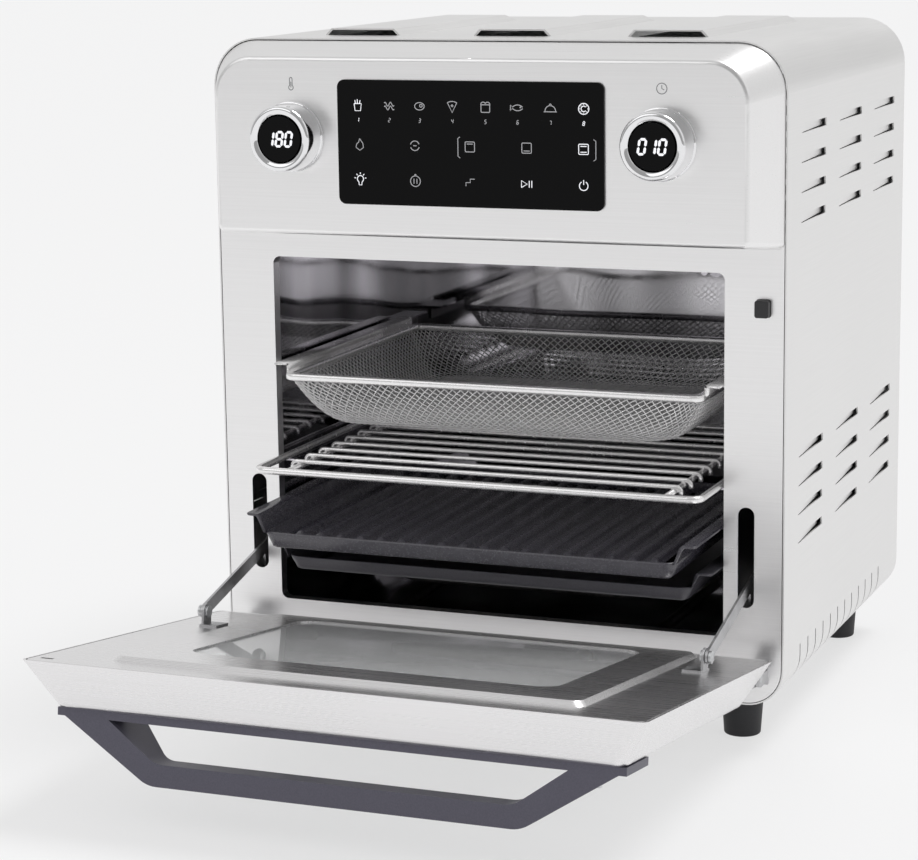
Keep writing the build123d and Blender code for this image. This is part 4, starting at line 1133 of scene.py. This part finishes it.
def lathe(profile, centre_x, centre_z, y0, steps=96):
    """A closed ring from (radius, y) pairs spun about an axis along Y."""
    radius, y = np.array(profile).T
    turn = np.linspace(0, 2 * np.pi, steps, endpoint=False)
    points = np.stack([centre_x + np.outer(np.cos(turn), radius),
                       np.broadcast_to(y0 + y, (steps, len(radius))),
                       centre_z + np.outer(np.sin(turn), radius)], axis=-1)
    return points.reshape(-1, 3), grid_faces(steps, len(radius), wrap_rows=True)


def make_knob(side):
    """One ring in place of its drawn node."""
    name = "knob_ring_" + side
    low, high = box_mm(name)
    points, faces = lathe(KNOB_PROFILE, (low[0] + high[0]) / 2, (low[2] + high[2]) / 2, high[1])
    piece = new_piece("knob_" + side + "_metal", points, faces, chrome, "knob_" + side)
    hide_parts(name)
    print(name, "has", len(faces), "faces")


make_knob("left")
make_knob("right")


# %% [markdown]
# ## Numbers on the displays
#
# Each display shows three leaning digits made of seven bars. A text object would need a font
# with such figures. A bar is only a long hexagon, and a digit is the list of its lit bars. The
# same digits, smaller, stand under the pictograms of the touch panel.

# %% Bars and figures
BARS = {"top": ((0, 2), (1, 2)), "middle": ((0, 1), (1, 1)), "bottom": ((0, 0), (1, 0)),
        "upper_left": ((0, 1), (0, 2)), "upper_right": ((1, 1), (1, 2)),
        "lower_left": ((0, 0), (0, 1)), "lower_right": ((1, 0), (1, 1))}
LIT = {"0": "top bottom upper_left upper_right lower_left lower_right",
       "1": "upper_right lower_right",
       "2": "top upper_right middle lower_left bottom",
       "3": "top upper_right middle lower_right bottom",
       "4": "upper_left upper_right middle lower_right",
       "5": "top upper_left middle lower_right bottom",
       "6": "top upper_left middle lower_left lower_right bottom",
       "7": "top upper_right lower_right",
       "8": "top middle bottom upper_left upper_right lower_left lower_right"}
print("figures:", {figure: len(bars.split()) for figure, bars in LIT.items()})


# %% [markdown]
# ## Bars with a little thickness
#
# A bar's outline is found in two dimensions, and then gets a back and sides, because a surface
# without thickness would flicker against the glass behind it.

# %% Flat shapes
def flat_shape(outline, y_front, thickness=0.12):
    """A flat outline of (x, z) points given a small thickness towards +Y."""
    outline = np.asarray(outline, dtype=float)
    count = len(outline)
    front = np.column_stack([outline[:, 0], np.full(count, y_front), outline[:, 1]])
    back = front + np.array([0, thickness, 0])
    sides = [[i, (i + 1) % count, count + (i + 1) % count, count + i] for i in range(count)]
    faces = [list(range(count))[::-1], [count + i for i in range(count)]] + sides
    return np.concatenate([front, back]), faces


def bar_outline(start, end, width, gap):
    """A bar with pointed ends between two points, as a hexagon."""
    start, end = np.array(start, dtype=float), np.array(end, dtype=float)
    along = (end - start) / np.linalg.norm(end - start)
    across = np.array([-along[1], along[0]]) * width / 2
    start, end = start + along * gap, end - along * gap
    shoulder = along * width / 2
    return [start, start + shoulder + across, end - shoulder + across, end,
            end - shoulder - across, start + shoulder - across]


print("a bar has", len(flat_shape(bar_outline((0, 0), (1, 0), 0.2, 0.02), 0.0)[1]), "faces")


# %% [markdown]
# ## The numbers in place
#
# A row of digits is centred on its display. The bars' ends are moved sideways by their height,
# which leans the figures, and the shapes stand a tenth of a millimetre in front of the lens.

# %% Displays
DIGIT_HEIGHT = 7.4
DIGIT_WIDTH = 0.92
BAR_GAP = 0.02
DIGIT_STAND = 0.13


def digit_parts(text, x, z, height, y_front, lean=0.16, bar=0.17, spread=1.55):
    """The lit bars of a row of digits centred on (x, z)."""
    unit = height / 2
    wide = unit * DIGIT_WIDTH
    step = wide * spread
    start = x - step * (len(text) - 1) / 2 - wide / 2
    parts = []
    for i, figure in enumerate(text):
        for bar_name in LIT[figure].split():
            ends = [(start + i * step + px * wide + lean * (pz - 1) * unit, z + (pz - 1) * unit)
                    for px, pz in BARS[bar_name]]
            outline = bar_outline(*ends, height * bar, height * BAR_GAP)
            parts.append(flat_shape(outline, y_front))
    return parts


def make_displays():
    """Three digits on each round display."""
    low, high = box_mm("display_lenses")
    z = (low[2] + high[2]) / 2
    reach = high[0] - (high[2] - low[2]) / 2
    for side, x, text in (("left", -reach, "180"), ("right", reach, "010")):
        points, faces = joined(digit_parts(text, x, z, DIGIT_HEIGHT, low[1] - DIGIT_STAND))
        new_piece("digits_" + side, points, faces, bright_mark, "housing",
                  smooth=False)
        print("digits", side, "at x", round(x, 1), "z", round(z, 1))


make_displays()


# %% [markdown]
# ## Pictograms of the touch panel
#
# The panel has three rows of small line drawings. Each is a list of strokes in a square of
# about eight millimetres: arcs come from one formula and straight lines from their corners. A
# stroke is a flat strip on the glass. The drawings are plain signs: a cup, a wave, a slice, a
# fish, a bulb and so on. Drawing them as curves by hand would do as well, but a formula keeps
# every arc round and every sign on its centre.

# %% Strokes
STROKE_HALF = 0.05


def arc(cx, cz, radius, start, end, steps=20, squash=1.0):
    """Points on a circle between two angles in degrees."""
    turn = np.radians(np.linspace(start, end, steps))
    return np.column_stack([cx + radius * np.cos(turn), cz + radius * squash * np.sin(turn)])


def ring(cx, cz, radius, steps, squash=1.0):
    """A whole circle, or an ellipse that is squashed in height."""
    return arc(cx, cz, radius, 0, 360, steps, squash)


def box_stroke(x0, z0, x1, z1, radius=0.6):
    """A rectangle's outline with round corners."""
    corners = [arc(x1 - radius, z1 - radius, radius, 0, 90, 5),
               arc(x0 + radius, z1 - radius, radius, 90, 180, 5),
               arc(x0 + radius, z0 + radius, radius, 180, 270, 5),
               arc(x1 - radius, z0 + radius, radius, 270, 360, 5)]
    loop = np.concatenate(corners)
    return np.concatenate([loop, loop[:1]])


def stroke_part(points, x, z, scale, width, y_front):
    """One stroke as a flat strip, moved to its place on the panel."""
    flat = np.asarray(points, dtype=float) * scale
    path = np.column_stack([flat[:, 0] + x, np.full(len(flat), y_front + STROKE_HALF),
                            flat[:, 1] + z])
    section = np.array([(-1, -1), (1, -1), (1, 1), (-1, 1)]) * [width / 2, STROKE_HALF]
    return sweep(path, section, up=(0, 1, 0))


def rays(count, inner, outer, start=0, end=360):
    """Short straight strokes pointing away from the middle."""
    turn = np.radians(np.linspace(start, end, count, endpoint=(end - start) < 360))
    return [np.array([[inner * math.cos(a), inner * math.sin(a)],
                      [outer * math.cos(a), outer * math.sin(a)]]) for a in turn]


print("a box stroke has", len(box_stroke(-3, -3, 3, 3)), "points")


# %% [markdown]
# ## The signs
#
# Each sign is named for what it shows, and written as its strokes about its own middle, in
# millimetres. Three of them share the outline of an oven seen from the front.

# %% Signs
wave_x = np.linspace(-3, 3, 25)
OVEN = box_stroke(-2.8, -2.8, 2.8, 2.8)
TOP_BAR = [(-1.8, 1.6), (1.8, 1.6)]
LOW_BAR = [(-1.8, -1.6), (1.8, -1.6)]
SIGNS = {
    "cup": [[(-2.2, 1), (-1.7, -3), (1.7, -3), (2.2, 1), (-2.2, 1)], [(-1.4, 1), (-1.7, 3)],
            [(-0.2, 1), (-0.2, 3.4)], [(1.1, 1), (1.5, 2.9)]],
    "wave": [np.column_stack([wave_x, 1.1 * np.sin(wave_x * 1.9) + 0.9]),
             np.column_stack([wave_x, 1.1 * np.sin(wave_x * 1.9) - 1.2])],
    "steak": [ring(0, 0, 2.9, 30, 0.72), ring(0.9, 0.3, 0.8, 14)],
    "slice": [[(-2.8, 2.2), (0, -3.2), (2.8, 2.2)], arc(0, -2.6, 5.6, 58, 122, 12),
              ring(0, 0.6, 0.5, 10)],
    "bread": [box_stroke(-2.6, -2.8, 2.6, 1.4), arc(-1.3, 1.5, 1.4, 20, 200, 10),
              arc(1.3, 1.5, 1.4, -20, 160, 10)],
    "fish": [arc(0, -2.6, 4.2, 45, 135, 14), arc(0, 2.6, 4.2, 225, 315, 14),
             [(-2.9, 0.3), (-4.2, 1.5), (-4.2, -1.5), (-2.9, -0.3)], ring(1.7, 0.3, 0.3, 8)],
    "dome": [arc(0, -1.6, 3.1, 0, 180, 18), [(-3.8, -1.9), (3.8, -1.9)],
             ring(0, 1.9, 0.5, 10)],
    "dial": [ring(0, 0, 3.0, 34), arc(0, 0, 1.5, 40, 320, 18), *rays(8, 2.1, 2.5)],
    "flame": [np.column_stack([np.array([0, 1.9, 2.3, 0, -2.3, -1.9, -0.7, 0]),
                               np.array([3.4, 0.8, -1.6, -3.2, -1.6, 0.3, 1.3, 3.4])])],
    "spit": [arc(0, 0, 2.7, 20, 165, 20), arc(0, 0, 2.7, 200, 345, 20), [(-1, 0), (1, 0)]],
    "top_heat": [OVEN, TOP_BAR],
    "low_heat": [OVEN, LOW_BAR],
    "both_heat": [OVEN, TOP_BAR, LOW_BAR],
    "bulb": [arc(0, 0.5, 1.9, -55, 235, 24), [(-1.0, -1.1), (-0.8, -2.9), (0.8, -2.9),
                                              (1.0, -1.1)],
             *[r + np.array([0, 0.5]) for r in rays(5, 2.7, 3.7, 10, 170)]],
    "warm": [ring(0, 0, 3.0, 34), [(-0.9, -1.4), (-0.9, 1.4)], [(0.9, -1.4), (0.9, 1.4)],
             ring(0, 3.5, 0.4, 8)],
    "steps": [[(-2.6, -2), (-2.6, 0), (0, 0), (0, 2), (2.6, 2)]],
    "start": [[(-3.2, -1.9), (-3.2, 1.9), (0.2, 0), (-3.2, -1.9)], [(1.4, -1.9), (1.4, 1.9)],
              [(2.9, -1.9), (2.9, 1.9)]],
    "power": [arc(0, -0.2, 2.5, 120, 420, 26), [(0, 0.4), (0, 3.1)]],
}
print("signs:", len(SIGNS), "strokes:", sum(len(strokes) for strokes in SIGNS.values()))


# %% [markdown]
# ## The panel's rows
#
# The signs stand in three rows, and the first row has a number under each sign. Lit signs are
# bright and the others dim, so all strokes of one brightness are joined into one piece. Two
# brackets frame the three oven signs of the middle row.

# %% Rows of the panel
ROW_TOP = [-63.3, -45.5, -28.5, -10.3, 8.0, 25.6, 43.3, 61.2]
ROW_LOW = [-62.6, -31.4, -0.8, 30.3, 61.0]
ROW_Z = (336.4, 316.0, 297.6)
LABEL_DROP = 7.4
LABEL_HEIGHT = 2.0
SIGN_SCALE = 0.92
SIGN_WIDTH, BRACKET_WIDTH = 0.42, 0.4
BRACKET = [(1.2, 5.4), (0, 4.6), (0, -4.6), (1.2, -5.4)]
BRACKET_OUT, BRACKET_DROP = 6.6, 0.4
PANEL_STAND = 0.11
PANEL = [(ROW_Z[0], ROW_TOP, ["cup", "wave", "steak", "slice", "bread", "fish", "dome", "dial"]),
         (ROW_Z[1], ROW_LOW, ["flame", "spit", "top_heat", "low_heat", "both_heat"]),
         (ROW_Z[2], ROW_LOW, ["bulb", "warm", "steps", "start", "power"])]
BRIGHT_SIGNS = {"cup", "bulb", "both_heat", "start", "power", "dial"}


def make_panel():
    """All the signs, bright and dim, and the numbers under the first row."""
    y_front = box_mm("touch_glass")[0][1] - PANEL_STAND
    groups = {True: [], False: []}
    for z, xs, names in PANEL:
        for i, (x, name) in enumerate(zip(xs, names)):
            bright = name in BRIGHT_SIGNS
            for points in SIGNS[name]:
                groups[bright].append(stroke_part(points, x, z, SIGN_SCALE, SIGN_WIDTH, y_front))
            if xs is ROW_TOP:
                groups[bright] += digit_parts(str(i + 1), x, z - LABEL_DROP, LABEL_HEIGHT,
                                              y_front)
    for x, way in ((ROW_LOW[2] - BRACKET_OUT, 1), (ROW_LOW[4] + BRACKET_OUT, -1)):
        groups[False].append(stroke_part(np.array(BRACKET) * [way, 1], x,
                                         ROW_Z[1] - BRACKET_DROP, 1.0, BRACKET_WIDTH, y_front))
    for bright, parts in groups.items():
        name, mat = (("panel_signs_bright", bright_mark) if bright
                     else ("panel_signs_dim", dim_mark))
        points, faces = joined(parts)
        new_piece(name, points, faces, mat, "housing", smooth=False)
        print(name, "has", len(parts), "strokes")


make_panel()


# %% [markdown]
# ## Printed signs over the knobs
#
# A thermometer and a clock are printed on the steel in dark ink. They are strokes like the
# panel's, in an ink that doesn't glow.

# %% Printed signs
SIGN_Z = 347.0
KNOB_X = 102.0
THERMOMETER = [arc(0, -1.9, 1.3, -235, 55, 20), [(-0.75, -0.9), (-0.75, 2.6)],
               arc(0, 2.6, 0.75, 180, 0, 8), [(0.75, 2.6), (0.75, -0.9)], [(0, -1.9), (0, 1.2)]]
CLOCK = [ring(0, 0, 2.7, 30), [(0, 1.7), (0, 0), (1.3, -0.6)]]
PRINTED = {"thermometer_sign": (THERMOMETER, -KNOB_X), "clock_sign": (CLOCK, KNOB_X)}
PRINT_STAND = 0.06


def make_printed_signs():
    """A thermometer over the left knob and a clock over the right one."""
    y_front = box_mm("control_fascia")[0][1] - PRINT_STAND
    for name, (sign, x) in PRINTED.items():
        parts = [stroke_part(points, x, SIGN_Z, 1.0, BRACKET_WIDTH, y_front) for points in sign]
        points, faces = joined(parts)
        new_piece(name, points, faces, printed_mark, "housing", smooth=False)
        print(name, "has", len(parts), "strokes")


make_printed_signs()


# %% [markdown]
# ## Floor, backdrop and light
#
# A pale floor runs far behind the oven, so the photograph's even background is the floor
# itself. Its shader adds a plain glow to a weaker diffuse part: where the oven's shadow takes
# the diffuse part away, the floor is a soft grey. Camera, mirror and glass rays see this mix,
# and other rays see a plain pale floor, so that the glow doesn't light the oven from below.

# %% Floor
FLOOR_SIZE = 60.0
FLOOR_PLAIN = (0.75, 0.75, 0.76, 1.0)
GLOW = 0.62
SOFT = 0.27


def seen_directly(tree):
    """1 for camera, glossy and transmission rays, 0 for the rest."""
    path = node(tree, "LightPath")
    first = node(tree, "Math", operation="MAXIMUM")
    second = node(tree, "Math", operation="MAXIMUM")
    wire(tree, path.outputs["Is Camera Ray"], first.inputs[0])
    wire(tree, path.outputs["Is Glossy Ray"], first.inputs[1])
    wire(tree, first.outputs[0], second.inputs[0])
    wire(tree, path.outputs["Is Transmission Ray"], second.inputs[1])
    return second.outputs[0]


def make_floor():
    """One large pale plane."""
    mat, tree, shader = new_finish("floor_paint", (0.80, 0.80, 0.80), roughness=0.9, specular=0.0)
    tree.nodes.remove(shader)
    plain = node(tree, "BsdfDiffuse", Color=FLOOR_PLAIN)
    soft = node(tree, "BsdfDiffuse", Color=(SOFT, SOFT, SOFT * 1.01, 1.0))
    glow = node(tree, "Emission", Color=(1.0, 1.0, 1.0, 1.0), Strength=GLOW)
    both = node(tree, "AddShader")
    pick = node(tree, "MixShader")
    wire(tree, soft.outputs[0], both.inputs[0])
    wire(tree, glow.outputs[0], both.inputs[1])
    wire(tree, seen_directly(tree), pick.inputs[0])
    wire(tree, plain.outputs[0], pick.inputs[1])
    wire(tree, both.outputs[0], pick.inputs[2])
    wire(tree, pick.outputs[0], tree.nodes["Material Output"].inputs["Surface"])
    half = FLOOR_SIZE / 2
    mesh = bpy.data.meshes.new("floor")
    mesh.from_pydata([(-half, -half, 0), (half, -half, 0), (half, half, 0), (-half, half, 0)], [],
                     [(0, 1, 2, 3)])
    mesh.materials.append(mat)
    floor = bpy.data.objects.new("floor", mesh)
    bpy.context.collection.objects.link(floor)
    print("floor", FLOOR_SIZE, "m wide")


make_floor()


# %% [markdown]
# ## The surround
#
# The steel shows its surroundings, so the world is pale in front of the camera and greyer
# behind it, which gives polished parts a dark side. Where it only lights, it is even.

# %% World
SKY_AHEAD = 0.72
SKY_BEHIND = 0.34
SKY_LIGHT = 0.62
FADE_START, FADE_END = -0.75, 0.35
FLOAT_FROM, FLOAT_TO = 2, 3


def make_world():
    """A pale surround where it is seen, greyer behind the camera, even where it only lights."""
    world = bpy.data.worlds.new("studio")
    bpy.context.scene.world = world
    world.use_nodes = True
    tree = world.node_tree
    back = tree.nodes["Background"]
    back.inputs["Color"].default_value = (1.0, 1.0, 1.0, 1.0)
    place = node(tree, "TexCoord")
    split = node(tree, "SeparateXYZ")
    wire(tree, place.outputs["Generated"], split.inputs[0])
    seen = ranged(tree, split.outputs["Y"], SKY_BEHIND, SKY_AHEAD, FADE_START, FADE_END)
    strength = node(tree, "Mix", data_type="FLOAT")
    strength.inputs[FLOAT_FROM].default_value = SKY_LIGHT
    wire(tree, seen_directly(tree), strength.inputs["Factor"])
    wire(tree, seen, strength.inputs[FLOAT_TO])
    wire(tree, strength.outputs[0], back.inputs["Strength"])
    print("world", world.name, "from", SKY_BEHIND, "to", SKY_AHEAD)


make_world()


# %% [markdown]
# ## Lamps
#
# A wide sun from above, a little behind on the right, gives the handle its short soft shadow
# towards the lower left, and an even floor. Two large weak panels add soft gradients to the
# steel: one high in front on the left, one on the right.

# %% Lamps
SUN_FROM = (0.35, 0.30, 1.0)
SUN_PLACE = (0.0, 0.0, 2.0)
SUN_POWER = 1.45
SUN_ANGLE = math.radians(24)
PANELS = {"front_panel": ((-900.0, -1300.0, 1500.0), 1.4, 5.0),
          "right_panel": ((1500.0, -300.0, 1100.0), 1.2, 1.0)}
TARGET = placed((0.0, 60.0, 180.0))


def add_lamp(data, place, direction):
    """A lamp object at a place, shining along a direction."""
    lamp = bpy.data.objects.new(data.name, data)
    bpy.context.collection.objects.link(lamp)
    lamp.location = place
    lamp.rotation_mode = "QUATERNION"
    lamp.rotation_quaternion = Vector(direction).to_track_quat("-Z", "Y")


def make_lamps():
    """The sun and the square panels that look at the oven's middle."""
    sun = bpy.data.lights.new("sun", "SUN")
    sun.energy = SUN_POWER
    sun.angle = SUN_ANGLE
    add_lamp(sun, SUN_PLACE, [-v for v in SUN_FROM])
    for name, (place, size, power) in PANELS.items():
        panel = bpy.data.lights.new(name, "AREA")
        panel.shape = "SQUARE"
        panel.size = size
        panel.energy = power
        add_lamp(panel, placed(place), TARGET - placed(place))
    print("lamps:", sorted(lamp.name for lamp in bpy.data.lights))


make_lamps()


# %% [markdown]
# ## View settings
# The standard view shows colours as they are written. The last lines write the drawn box and
# the dressed box side by side, so that they can be compared.

# %% Finish
bpy.context.scene.view_settings.view_transform = "Standard"
